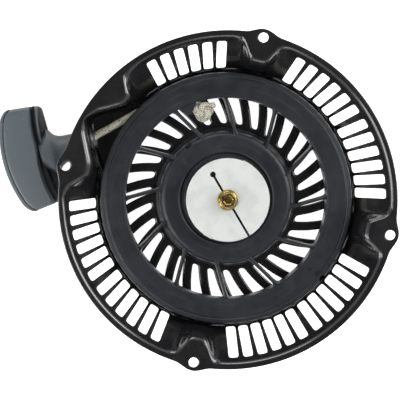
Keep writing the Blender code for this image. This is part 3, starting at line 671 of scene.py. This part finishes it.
def make_bowl(shape):
    """The flange, bend and wall with their holes. Returns the floor's outer ring."""
    angles, spans = [], []
    cells = case_cells()
    for cell, following in zip(cells, cells[1:] + [(cells[0][0] + 360,)]):
        first, last, columns, kind, centre = cell
        spans.append((len(angles), columns, kind, centre))
        angles += [first + (last - first) * k / columns for k in range(columns)]
        gap = following[0] - last
        if gap > 0.01:
            count = max(1, round(gap / 0.7))
            angles += [last + gap * k / count for k in range(count)]
    grid = []
    for degrees in angles:
        c, s = polar(1.0, degrees)
        grid.append([shape.verts.new(Vector((p.x * c, p.x * s, p.y)) * MM) for p in case_profile(degrees)])
    skipped = set()
    for start, columns, kind, centre in spans:
        top, bottom = ((RIM_ROWS - 1, RIM_ROWS - 1 + EAR_CELL_ROWS) if kind == "ear"
                       else (FIRST_WALL_ROW, FIRST_WALL_ROW + WALL_ROWS))
        skipped |= {((start + k) % len(grid), row) for k in range(columns) for row in range(top, bottom)}
        column = [grid[(start + k) % len(grid)] for k in range(columns + 1)]
        border = [line[top] for line in column[:-1]] + column[-1][top:bottom]
        border += [line[bottom] for line in column[:0:-1]] + column[0][bottom:top:-1]
        counts = (columns, bottom - top, columns, bottom - top)
        if kind == "ear":
            hole, turn = [], -45.0
            for count in counts:
                for k in range(count):
                    out, side = polar(HOLE_RADIUS, turn + 90.0 * k / count)
                    hole.append(swung(out + HOLE_CIRCLE, side, centre))
                turn += 90.0
            pierce(shape, border, hole, lambda spot, drop: Vector((*spot, CASE_HEIGHT - 0.5 * drop)))
        else:
            half, (outer, inner) = WALL_SLOT_WIDTH / 2, WALL_SLOT_ENDS
            corners = [(out, side, WALL_SLOT_CORNER)
                       for out, side in ((outer, -half), (outer, half), (inner, half), (inner, -half))]
            hole = between(corners, counts, lambda out, side: swung(out, side, centre))
            pierce(shape, border, hole, wall_surface)
    for i, column in enumerate(grid):
        following = grid[(i + 1) % len(grid)]
        for row in range(len(column) - 1):
            if (i, row) not in skipped:
                shape.faces.new((column[row], following[row], following[row + 1], column[row + 1]))
    for vert in {v for v in shape.verts if not v.link_faces}:
        shape.verts.remove(vert)
    return [column[-1] for column in grid]


def make_floor(shape):
    """The ring of swirling slots and the plain middle. Returns the ring's outer vertices."""
    outer, inner = FLOOR_BAND
    rows, columns = 14, 6

    def turn(radius, sector):
        return FLOOR_SLOT_PHASE + 360 / FLOOR_SLOTS * sector + FLOOR_SLOT_SWIRL * (radius - FLOOR_SLOT_ENDS[1])

    def spot(radius, sector):
        return polar(radius, turn(radius, sector - 0.5))

    def vert(x, y, z=SHEET):
        return shape.verts.new((x * MM, y * MM, z * MM))

    total = FLOOR_SLOTS * columns
    arcs = [[vert(*spot(radius, k / columns)) for k in range(total)] for radius in (outer, inner)]
    sides = [[vert(*spot(outer + (inner - outer) * row / rows, sector)) for row in range(1, rows)]
             for sector in range(FLOOR_SLOTS)]
    for sector in range(FLOOR_SLOTS):
        left, right = sides[sector], sides[(sector + 1) % FLOOR_SLOTS]
        first = sector * columns
        top, bottom = ([arc[(first + k) % total] for k in range(columns + 1)] for arc in arcs)
        border = top + right + bottom[::-1] + left[::-1]
        wide, narrow = ((tau * radius / FLOOR_SLOTS - FLOOR_RIB) / 2 for radius in FLOOR_SLOT_ENDS)
        far, near = FLOOR_SLOT_ENDS
        corners = [(far, -wide, 1.8), (far, wide, 1.8), (near, narrow, 2.1), (near, -narrow, 2.1)]
        hole = between(corners, (columns, rows, columns, rows),
                       lambda out, side: swung(out, side, turn(out, sector)))
        pierce(shape, border, hole, lambda at, drop: Vector((*at, SHEET - drop)))
    middle = [(46.0, 0.0), (41.0, 0.0), (40.2, 0.12), (39.4, 0.4), (38.6, 0.68), (37.6, 0.8), (22.4, 0.8),
              (21.4, 0.68), (20.6, 0.4), (19.8, 0.12), (19.0, 0.0), (13.0, 0.0)]
    before = arcs[1]
    for radius, rise in middle:
        ring = [vert(v.co.x / MM * radius / inner, v.co.y / MM * radius / inner, SHEET + rise) for v in arcs[1]]
        for i in range(total):
            j = (i + 1) % total
            shape.faces.new((before[i], before[j], ring[j], ring[i]))
        before = ring
    shape.faces.new(before)
    return arcs[0]


def outlet_frame():
    return aim(OUTLET, Vector((*polar(1.0, OUTLET_WALL_ANGLE), 0.0)))


def make_case():
    shape = bmesh.new()
    zip_rings(shape, make_bowl(shape), make_floor(shape))
    bmesh.ops.recalc_face_normals(shape, faces=shape.faces)
    floor = min(shape.faces, key=lambda face: face.calc_center_median().length)
    if floor.normal.z < 0:
        bmesh.ops.reverse_faces(shape, faces=shape.faces)
    case = mesh_from("case_shell", [], [])
    shape.to_mesh(case.data)
    shape.free()
    sheet = case.modifiers.new("sheet", "SOLIDIFY")
    sheet.thickness = SHEET * MM
    sheet.offset = -1.0
    settle(case)
    hole = cylinder("outlet_cutter", (0, 0), OUTLET_HOLE_RADIUS, -6.0, 6.0)
    hole.data.transform(outlet_frame())
    combine(case, hole, operation="DIFFERENCE")
    tidy_mesh(case, weld=0.0000005, sharp=38.0)
    dress(case, PAINT, "case", "case_paint", "starter_case")


def make_eyelet():
    wall = SHEET + 0.6
    profile = [(5.0, -4.3, 0.5), (6.2, -4.1, 0.6), (6.5, -1.5, 0.5), (8.2, -1.1, 0.3), (8.2, -0.3, 0.2),
               (5.8, -0.3, 0), (5.8, wall, 0), (8.4, wall, 0.2), (8.4, wall + 1.2, 0.6),
               (6.0, wall + 1.2, 0.5), (4.7, wall - 0.1, 0.9), (4.2, -2.4, 0.9)]
    eyelet = revolve("rope_eyelet", rounded(profile, 5), 64)
    eyelet.data.transform(outlet_frame())
    dress(eyelet, BRIGHT, "case", "bright_steel", "rope_guide")


# ---- reel
def at_rope(radius, degrees):
    return Vector((*polar(radius, degrees), ROPE_Z))


def make_spoke(index):
    """A rib with rounded upper edges, buried at both ends in the hub and the ring."""
    degrees = SPOKE_PHASE + 360 / SPOKES * index
    start = Vector(polar(HUB_OUTER - 2.5, degrees))
    end = Vector(polar(RING_INNER + 1.0, degrees + SPOKE_SWIRL))
    side = (end - start).normalized().orthogonal()
    half, crest, low, high = SPOKE_WIDTH / 2, 0.8, 11.5, 19.0
    section = rounded([(-half, low, 0), (half, low, 0), (half - 0.2, low + 3.0, 0.5), (crest, high, 0.5),
                       (-crest, high, 0.5), (-half + 0.2, low + 3.0, 0.5)], 4)
    rings = []
    for at, flare in ((0.0, 1.5), (0.10, 1.45), (0.13, 1.2), (0.18, 1.0), (0.85, 1.0), (0.93, 1.2), (1.0, 1.9)):
        centre = start.lerp(end, at)
        rings.append([(*(centre + side * across * flare), z) for across, z in section])
    return loft("spoke_%02d" % index, rings)


def make_reel():
    skirt = HUB_OUTER - 3.0
    hub = [(REEL_BORE, PEDESTAL_TOP, 0.4), (27.0, PEDESTAL_TOP, 0.8), (28.3, HUB_FACE_Z - 0.7, 0.5),
           (30.6, HUB_FACE_Z - 0.7, 0.6), (31.5, HUB_FACE_Z + 0.3, 0.5), (32.8, HUB_FACE_Z, 0.5),
           (HUB_OUTER - 2.2, HUB_FACE_Z - 0.1, 2.6), (HUB_OUTER, HUB_FACE_Z - 4.2, 2.4), (HUB_OUTER, 6.6, 0.5),
           (HUB_OUTER + 2.1, 5.9, 0.5), (HUB_OUTER + 2.1, HUB_BOTTOM, 0.5), (skirt, HUB_BOTTOM, 0.4),
           (skirt, SPRING_ROOF, 0.8), (REEL_BORE, SPRING_ROOF, 0.3)]
    reel = revolve("reel_body", rounded(hub, 6), 180)
    wall = RING_INNER + 1.9
    ring = [(RING_INNER + 0.2, RING_TOP, 1.3), (81.9, RING_TOP, 0.4), (82.4, RING_TOP - 0.55, 0.3),
            (83.0, RING_TOP - 0.1, 0.4), (RING_OUTER - 0.5, RING_TOP - 0.35, 0.5), (RING_OUTER, RING_TOP - 1.4, 0.3),
            (wall, RING_TOP - 1.2, 0.5), (wall, RING_BOTTOM + 1.2, 0.5),
            (RING_OUTER, RING_BOTTOM + 1.2, 0.3), (RING_OUTER, RING_BOTTOM, 0.3), (RING_INNER, RING_BOTTOM, 0.5)]
    parts = [revolve("reel_ring", rounded(ring, 5), 240)]
    parts += [make_spoke(index) for index in range(SPOKES)]
    web = [polar(*place) for place in ((70.5, 117.6), (71.0, 105.5), (62.2, 112.6), (61.6, 115.2))]
    parts.append(prism("anchor_web", web, 18.5, 19.9))
    combine(reel, *parts)

    cuts = []
    for k, place in enumerate((0.0, 180.0)):
        pivot = polar(PAWL_PIVOT[0], PAWL_PIVOT[1] + place)
        for name, (radius, depth), sides in (("well", PAWL_WELL, 32), ("pin_hole", PIN_HOLE, 24)):
            cuts.append(cylinder(name + "_%d" % k, pivot, radius, PEDESTAL_TOP - depth, PEDESTAL_TOP + 2.0, sides))
    hole, knot = at_rope(*ANCHOR_HOLE), at_rope(*ANCHOR_KNOT)
    bore = cylinder("anchor_bore", (0, 0), ROPE_RADIUS + 0.6, -7.0, 7.0)
    bore.data.transform(aim(hole, hole - knot))
    cuts.append(bore)
    notch = [polar(*place) for place in ((42.8, 123.0), (47.5, 123.6), (47.5, 128.6), (42.8, 128.8))]
    cuts.append(prism("spring_notch", notch, 15.6, 22.0))
    for k, (radius, degrees, size, depth) in enumerate(MOULD_MARKS):
        cuts.append(cylinder("mark_%d" % k, polar(radius, degrees), size, RING_TOP - depth, RING_TOP + 1.0, 24))
    combine(reel, *cuts, operation="DIFFERENCE")
    tidy_mesh(reel, sharp=30.0)
    even_shading(reel)
    dress(reel, REEL_PLASTIC, "reel", "reel_plastic", "reel")


# ---- rope
def smooth_route(points, spacing):
    """Points about every spacing along a smooth curve through the given ones."""
    route = []
    padded = [points[0]] + list(points) + [points[-1]]
    for i in range(1, len(padded) - 2):
        a, b, c, d = (Vector(p) for p in padded[i - 1:i + 3])
        count = max(1, round((c - b).length / spacing))
        for k in range(count):
            t = k / count
            route.append(0.5 * ((2 * b) + (c - a) * t + (2 * a - 5 * b + 4 * c - d) * t ** 2
                                + (3 * b - a - 3 * c + d) * t ** 3))
    route.append(Vector(points[-1]))
    return route


def braid_height(turns, length):
    """How proud a braided rope stands at an angle, in turns, and a length along it."""
    wound, along = turns * BRAID_STRANDS, length * BRAID_STRANDS / BRAID_PITCH
    return abs(sin(pi * (wound + along))) * abs(sin(pi * (wound - along)))


def rope_mesh(name, route, radius, sides, depth, closed=False):
    """A braided rope along a route, with its angle and length kept as texture coordinates."""
    count = len(route)
    tangents = []
    for i in range(count):
        ahead = route[(i + 1) % count] if closed else route[min(i + 1, count - 1)]
        behind = route[i - 1] if closed else route[max(i - 1, 0)]
        tangents.append((ahead - behind).normalized())
    side = tangents[0].orthogonal().normalized()
    verts, marks, length = [], [], 0.0
    for i, (point, tangent) in enumerate(zip(route, tangents)):
        side = (side - tangent * side.dot(tangent)).normalized()
        other = tangent.cross(side)
        if i:
            length += (point - route[i - 1]).length
        ends = min(i, count - 1 - i)
        taper = 1.0 if closed or ends > 2 else (0.55, 0.82, 0.95)[ends]
        for k in range(sides):
            turns = k / sides
            reach = (radius - depth + depth * 1.6 * braid_height(turns, length)) * taper
            verts.append(point + reach * (cos(tau * turns) * side + sin(tau * turns) * other))
            marks.append((turns, length))
    faces, uvs = list(strips(count, sides, closed)), []
    for i in range(count if closed else count - 1):
        j = (i + 1) % count
        for k in range(sides):
            far = marks[j * sides][1] if j > i else length + (route[0] - route[-1]).length
            near = marks[i * sides][1]
            low, high = k / sides, (k + 1) / sides
            uvs += [(low, near * MM), (high, near * MM), (high, far * MM), (low, far * MM)]
    if not closed:
        for ring in (0, count - 1):
            faces.append(tuple(ring * sides + k for k in range(sides)))
            uvs += [(0.5, marks[ring * sides][1] * MM)] * sides
    item = mesh_from(name, verts, faces)
    layer = item.data.uv_layers.new(name="rope")
    layer.data.foreach_set("uv", [value for uv in uvs for value in uv])
    return tidy_mesh(item, weld=0, sharp=0)


def pull_point(distance, sideways=0.0, up=0.0):
    c, s = polar(1.0, PULL_ANGLE)
    x = HANDLE_ORIGIN[0] + distance * c + sideways * s
    y = HANDLE_ORIGIN[1] + distance * s - sideways * c
    return Vector((x, y, ROPE_Z + up))


def tangent_point():
    reach = acos(ROPE_LAYER / hypot(*ROPE_MOUTH))
    return atan2(ROPE_MOUTH[1], ROPE_MOUTH[0]) - reach


def make_strand():
    """From the reel's outermost turn through the eyelet; the rest follows the handle."""
    start = Vector((ROPE_LAYER * cos(tangent_point()), ROPE_LAYER * sin(tangent_point())))
    mouth = Vector(ROPE_MOUTH)
    inside = [(*start.lerp(mouth, share), ROPE_Z) for share in (0.0, 0.35, 0.7, 0.95)]
    inside.append(pull_point(1.6, 0.9))
    whole = smooth_route(inside + [pull_point(NECK_START - 1.2), pull_point(16.0), pull_point(43.0)], 0.45)
    cut = min(range(len(whole)), key=lambda i: (whole[i] - pull_point(1.6, 0.9)).length)
    strand = rope_mesh("rope_strand", whole[:cut + 1], ROPE_RADIUS, 48, 0.35)
    dress(strand, FIBRE, "case", "rope_fibre", "rope_run")
    lead = rope_mesh("rope_lead", whole[cut - 3:], ROPE_RADIUS, 48, 0.35)
    dress(lead, FIBRE, None, "rope_fibre", "rope_tail")
    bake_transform(lead)


def make_winding():
    """Three turns laid in the groove, each in the hollow of the one before."""
    last = tangent_point()
    layers = ((73.4, -1.8), (76.9, 1.8), (ROPE_LAYER, 0.0))
    turns, steps = 2.92, 420
    route = []
    for i in range(steps + 1):
        wound = turns * (1 - i / steps)
        layer = max(0.0, (len(layers) - 1) - wound * (len(layers) - 1) / (turns - 0.6))
        low = min(int(layer), len(layers) - 2)
        share = smooth((layer - low - 0.35) / 0.3)
        radius = layers[low][0] + (layers[low + 1][0] - layers[low][0]) * share
        z = layers[low][1] + (layers[low + 1][1] - layers[low][1]) * share
        angle = last - tau * wound
        route.append(Vector((radius * cos(angle), radius * sin(angle), ROPE_Z + z)))
    winding = rope_mesh("rope_turns", route, ROPE_RADIUS, 16, 0.0)
    dress(winding, FIBRE, "reel", "rope_fibre", "rope_winding")


def knot_route(size, height, turn, count=260):
    """A tight overhand knot about its own centre."""
    route = []
    for i in range(count):
        t = tau * i / count
        reach = 2.0 + cos(3 * t)
        route.append(Vector((size * reach * cos(2 * t + turn), size * reach * sin(2 * t + turn),
                             height * sin(3 * t))))
    return route


def make_knots():
    centre = Vector((*polar(*ANCHOR_KNOT), ROPE_Z + 0.6))
    knot = rope_mesh("anchor_knot", [centre + p for p in knot_route(1.72, 2.6, 0.5)], 2.35, 32, 0.3, closed=True)
    hole = at_rope(*ANCHOR_HOLE)
    away = (hole - at_rope(*ANCHOR_KNOT)).normalized()
    stub_points = [centre + away * 1.0, centre.lerp(hole, 0.6), hole + away * 1.0]
    stub = rope_mesh("anchor_stub", smooth_route(stub_points, 0.5), 2.3, 32, 0.3)
    end = [centre + Vector((3.0, 2.4, 1.6)), centre + Vector((5.6, 3.6, 2.6)), centre + Vector((8.2, 4.3, 2.2))]
    tip = rope_mesh("anchor_end", smooth_route(end, 0.5), 2.2, 32, 0.3)
    dress(knot, FIBRE, "reel", "rope_fibre", "rope_anchor_knot")
    dress(stub, FIBRE, "reel", "rope_fibre")
    dress(tip, FIBRE, "reel", "rope_fibre")
    inside = pull_point(KNOT_POCKET_START + 2.1 + 6.6)
    hidden = rope_mesh("grip_knot", [inside + p for p in knot_route(1.5, 2.4, 0.0)], 2.2, 24, 0.25, closed=True)
    dress(hidden, FIBRE, "handle", "rope_fibre", "handle_knot")


# ---- centre
def make_guide():
    bore, hollow = 4.9, 7.5
    profile = [(bore, GUIDE_TOP, 0.3), (GUIDE_RADIUS, GUIDE_TOP, 0.5), (GUIDE_RADIUS, GUIDE_BOTTOM, 0.3),
               (10.0, GUIDE_BOTTOM, 0.3), (10.0, GUIDE_BOSS_BOTTOM, 0.3), (hollow, GUIDE_BOSS_BOTTOM, 0.2),
               (hollow, GUIDE_BOTTOM, 0.0), (bore, GUIDE_BOTTOM, 0.0)]
    guide = revolve("guide_disc", rounded(profile, 5), 160)
    circle, degrees, size = CAM_LUG
    lugs = [cylinder("lug_%d" % k, polar(circle, degrees + 180 * k), size, GUIDE_BOSS_BOTTOM, GUIDE_BOTTOM + 0.6)
            for k in (0, 1)]
    combine(guide, *lugs)
    near = Vector(polar(SLIT_HOLE_DISTANCE, SLIT_ANGLE))
    far = Vector(polar(GUIDE_RADIUS + 3, SLIT_ANGLE + 180))
    side = (far - near).normalized().orthogonal() * SLIT_WIDTH / 2
    slit = prism("slit", [near - side, far - side, far + side, near + side], PEDESTAL_TOP, GUIDE_TOP + 2)
    relief = cylinder("relief", near, SLIT_HOLE_RADIUS, GUIDE_BOTTOM - 2, GUIDE_TOP + 2, 40)
    combine(guide, slit, relief, operation="DIFFERENCE")
    tidy_mesh(guide, sharp=30.0)
    even_shading(guide)
    dress(guide, NYLON, "guide", "white_nylon", "ratchet_guide")


def make_screw():
    """A flanged hexagon head with a chamfered top and a dished centre."""
    seat, half_flats, phase = 41.9, 5.0, 12.0
    profile = [(0.0, 27.6, 0.0), (2.7, 27.6, 0.4), (2.7, seat, 0.0), (6.9, seat, 0.2), (6.9, seat + 0.6, 0.4),
               (5.5, seat + 2.0, 0.7), (0.0, seat + 1.9, 0.0)]
    screw = revolve("screw_body", rounded(profile, 4), 96)
    rings = []
    for z, scale in ((seat + 0.6, 1.06), (seat + 1.7, 1.06), (seat + 2.3, 1.0), (46.3, 1.0), (46.9, 0.95),
                     (47.4, 0.86), (47.4, 0.66), (46.9, 0.60), (46.0, 0.55), (45.8, 0.50)):
        ring = []
        for k in range(72):
            degrees = 5.0 * k + phase
            flat = half_flats / cos(radians((degrees - phase) % 60.0 - 30.0))
            circle = 5.45 if z > 46.9 else 5.68
            ring.append((*polar(min(flat, circle) * scale, degrees), z))
        rings.append(ring)
    combine(screw, loft("screw_head", rings))
    arm = [(-2.0, -0.55), (2.0, -0.55), (2.0, 0.55), (-2.0, 0.55)]
    bars = []
    for k in (0, 1):
        bars.append(prism("cross_%d" % k, [swung(x, y, 30.0 + 90.0 * k) for x, y in arm], 44.9, 48.0))
    combine(screw, *bars, operation="DIFFERENCE")
    tidy_mesh(screw, sharp=28.0)
    dress(screw, ZINC, "case", "yellow_zinc", "centre_screw")


# ---- handle
def palm_line(v):
    corner = max(0.0, abs(v) / GRIP_HALF_LENGTH - 0.8) / 0.2
    return GRIP_CROWN - v * v / (2 * GRIP_ARC) - 3.2 * corner ** 2


def grip_half_section(v, inset):
    """Upper half of the grip's section at v, from the finger side round to the palm: (u, w)."""
    face = float(np.interp(v, *zip(*FACE_EDGE)))
    turned = min(1.0, max(0.0, (abs(v) - GRIP_HALF_LENGTH) / FINGER_CORNER + 1.0))
    finger = FINGER_SIDE + FINGER_CORNER * (1.0 - (1.0 - turned * turned) ** 0.5)
    rib = max(face - 4.9, finger + 1.6)
    top, crown = GRIP_HALF_THICK - inset, palm_line(v) - CAP_THICKNESS - 0.3
    crest = top - 2.8 - 4.4 * max(0.0, min(1.0, (10.0 - v) / 12.0))
    trough = top - 7.8
    ledge = max(finger + 0.3, rib - 1.9)
    return [(finger, 0.0), (finger, 1.2), (finger + 0.2, 2.1), (ledge, 3.1),
            (max(ledge + 0.1, rib - 1.0), 4.6), (rib - 0.5, crest - 0.5), (rib, crest), (rib + 0.5, crest - 0.6),
            (rib + 1.3, trough), (face - 1.7, trough), (face - 1.1, top - 2.4), (face - 0.6, top - 0.6), (face, top),
            (face + 2.5, top), (0.5 * (face + crown), top), (crown - 2.0, top), (crown - 0.7, top - 0.12),
            (crown - 0.12, top - 0.5), (crown, top - 1.3)]


def make_handle():
    stations = [(-1.0, 2.4), (-0.99, 1.4), (-0.972, 0.65), (-0.95, 0.15)]
    stations += [(-0.92 + 0.08 * k, 0.0) for k in range(24)]
    stations += [(-at, inset) for at, inset in reversed(stations[:4])]
    rings = []
    for at, inset in stations:
        v = at * GRIP_HALF_LENGTH
        half = grip_half_section(v, inset)
        whole = half + [(u, -w) for u, w in reversed(half)][:-1]
        rings.append([pull_point(u, v * (1 - END_SLANT * max(0.0, SLANT_START - u)), w) for u, w in whole])
    grip = loft("grip_body", rings)
    necks = ((NECK_START, 6.6, 6.6), (NECK_START + 0.25, 7.5, 7.5), (NECK_START + 0.8, 8.1, 8.1), (9.5, 8.5, 8.4),
             (15.0, 8.9, 8.7), (19.0, 9.1, 8.8), (22.0, 9.7, 9.1), (24.4, 10.9, 9.6), (26.2, 12.6, 10.2),
             (27.6, 15.0, 10.8), (29.5, 17.0, 11.0), (33.5, 13.0, 11.2), (36.5, 9.0, 11.3))
    rings = []
    for u, across, high in necks:
        rings.append([pull_point(u, across * cos(tau * k / 64), high * sin(tau * k / 64)) for k in range(64)])
    combine(grip, loft("grip_neck", rings))
    bores = []
    along = Vector((*polar(1.0, PULL_ANGLE), 0.0))
    for name, radius, low, high in (("rope_bore", 3.2, NECK_START - 4, KNOT_POCKET_START + 3),
                                    ("knot_pocket", 8.6, KNOT_POCKET_START, GRIP_CROWN + 5)):
        bore = cylinder(name, (0, 0), radius, low, high, 40)
        bore.data.transform(aim(pull_point(0.0), along))
        bores.append(bore)
    combine(grip, *bores, operation="DIFFERENCE")
    tidy_mesh(grip, sharp=40.0)
    dress(grip, GRIP_PLASTIC, "handle", "grip_plastic", "handle_grip")

    rings = []
    reach = GRIP_HALF_LENGTH - 0.15
    for k in range(49):
        at = sin(pi / 2 * (2 * k / 48 - 1))
        v = reach * at
        inset = 1.6 * max(0.0, (abs(at) - 0.97) / 0.03) ** 2
        out, back, high = palm_line(v) - inset * 0.6, palm_line(v) - CAP_THICKNESS, GRIP_HALF_THICK - 0.15 - inset
        section = rounded([(back, -high, 0.2), (out, -high, 1.9), (out, high, 1.9), (back, high, 0.2)], 5)
        rings.append([pull_point(u, v, w) for u, w in section])
    cap = loft("grip_cap", rings)
    tidy_mesh(cap, sharp=40.0)
    dress(cap, GRIP_PLASTIC, "handle", "grip_plastic", "handle_cap")


# ---- pieces kept from the CAD
def finish_cad_nodes():
    kept = {BRIGHT: ("centre_post", "thrust_washer", "pawl_pin_a", "pawl_pin_b", "handle_washer"),
            BRONZE: ("reel_bush",), NYLON: ("pawl_a", "pawl_b"),
            SPRING: ("mainspring", "pawl_spring_a", "pawl_spring_b", "friction_spring")}
    for look, names in kept.items():
        for name in names:
            NODES[name].data.materials.clear()
            NODES[name].data.materials.append(look)
    for name in ("pawl_a", "pawl_b", "centre_post", "thrust_washer", "reel_bush"):
        ease = NODES[name].modifiers.new("eased edges", "BEVEL")
        ease.width = 0.3 * MM
        ease.segments = 2
        ease.limit_method = "ANGLE"
        ease.angle_limit = radians(50.0)


# ---- stage, light and camera, in metres
CAMERA_EYE = (-0.046, 0.050)  # beside the reel's axis
CAMERA_DISTANCE = 0.870  # above the flange
VIEW_MIDDLE = (-0.01880, 0.00042)
VIEW_WIDTH = 0.2639  # of the flange's plane that the picture shows
CAMERA_TURN = 0.65  # share of the way that it turns towards the middle
SENSOR_MM = 36.0
LIT_POINT = (0.0, 0.0, 0.03)
# (name, direction in degrees, height, distance, size, radiance)
SOFTBOXES = (("key", 25.0, 0.50, 1.00, (0.9, 0.5), 6.5), ("left", 200.0, 0.48, 1.00, (0.8, 0.45), 5.0),
             ("far", 100.0, 0.50, 1.00, (0.7, 0.4), 4.0), ("near", 265.0, 0.46, 1.00, (0.7, 0.35), 2.0),
             ("high_left", 205.0, 1.00, 0.64, (0.45, 0.45), 4.6), ("high_right", 15.0, 1.00, 0.68, (0.4, 0.4), 4.4))


def make_stage():
    floor = mesh_from("floor", [(-3000, -3000, -0.4), (3000, -3000, -0.4), (3000, 3000, -0.4), (-3000, 3000, -0.4)],
                      [(0, 1, 2, 3)])
    look = Look("floor", 0.9)
    put(look.shader, {"Base Color": (0.9, 0.9, 0.9, 1.0), "Emission Color": (1.0, 1.0, 1.0, 1.0),
                      "Emission Strength": 0.9})
    floor.data.materials.append(look.material)


def softbox(name, degrees, height, distance, size, glow):
    data = bpy.data.lights.new(name, "AREA")
    data.shape = "RECTANGLE"
    data.size, data.size_y = size
    data.energy = glow * pi * size[0] * size[1]
    place = (*(distance * part for part in polar(1.0, degrees)), height)
    lamp = add_object(name, data)
    lamp.location = place
    lamp.visible_camera = False
    lamp.rotation_euler = (Vector(LIT_POINT) - Vector(place)).to_track_quat("-Z", "Y").to_euler()


def make_light():
    world = bpy.data.worlds.new("studio")
    world.use_nodes = True
    tree = world.node_tree
    background = tree.nodes["Background"]
    toward, split, fade = (tree.nodes.new("ShaderNode" + kind) for kind in ("TexCoord", "SeparateXYZ", "MapRange"))
    tree.links.new(toward.outputs["Generated"], split.inputs[0])
    tree.links.new(split.outputs["Z"], fade.inputs["Value"])
    put(fade, {"From Min": 0.55, "From Max": 0.92, "To Min": 0.55, "To Max": 0.05})
    tree.links.new(fade.outputs["Result"], background.inputs["Strength"])
    background.inputs["Color"].default_value = (1.0, 0.99, 0.985, 1.0)
    bpy.context.scene.world = world
    bpy.context.scene.view_settings.view_transform = "Standard"
    for box in SOFTBOXES:
        softbox(*box)


def make_camera():
    """Looks down from beside the pocket, turned part of the way towards the object's middle."""
    eye = Vector((*CAMERA_EYE, CASE_HEIGHT * MM + CAMERA_DISTANCE))
    middle = Vector((*VIEW_MIDDLE, CASE_HEIGHT * MM))
    below = Vector((eye.x, eye.y, middle.z))
    back = (eye - below.lerp(middle, CAMERA_TURN)).normalized()
    right = Vector((0.0, 1.0, 0.0)).cross(back).normalized()
    turn = Matrix((right, back.cross(right), back))
    data = bpy.data.cameras.new("camera")
    data.sensor_width = SENSOR_MM
    data.lens = SENSOR_MM * CAMERA_DISTANCE / VIEW_WIDTH
    seen = turn @ (middle - eye)
    data.shift_x = seen.x / -seen.z * CAMERA_DISTANCE / VIEW_WIDTH
    data.shift_y = seen.y / -seen.z * CAMERA_DISTANCE / VIEW_WIDTH
    camera = add_object("camera", data)
    camera.matrix_world = Matrix.Translation(eye) @ turn.transposed().to_4x4()
    bpy.context.scene.camera = camera


make_camera()
make_light()
make_stage()
make_case()
make_eyelet()
make_reel()
make_strand()
make_winding()
make_knots()
make_guide()
make_screw()
make_handle()
finish_cad_nodes()
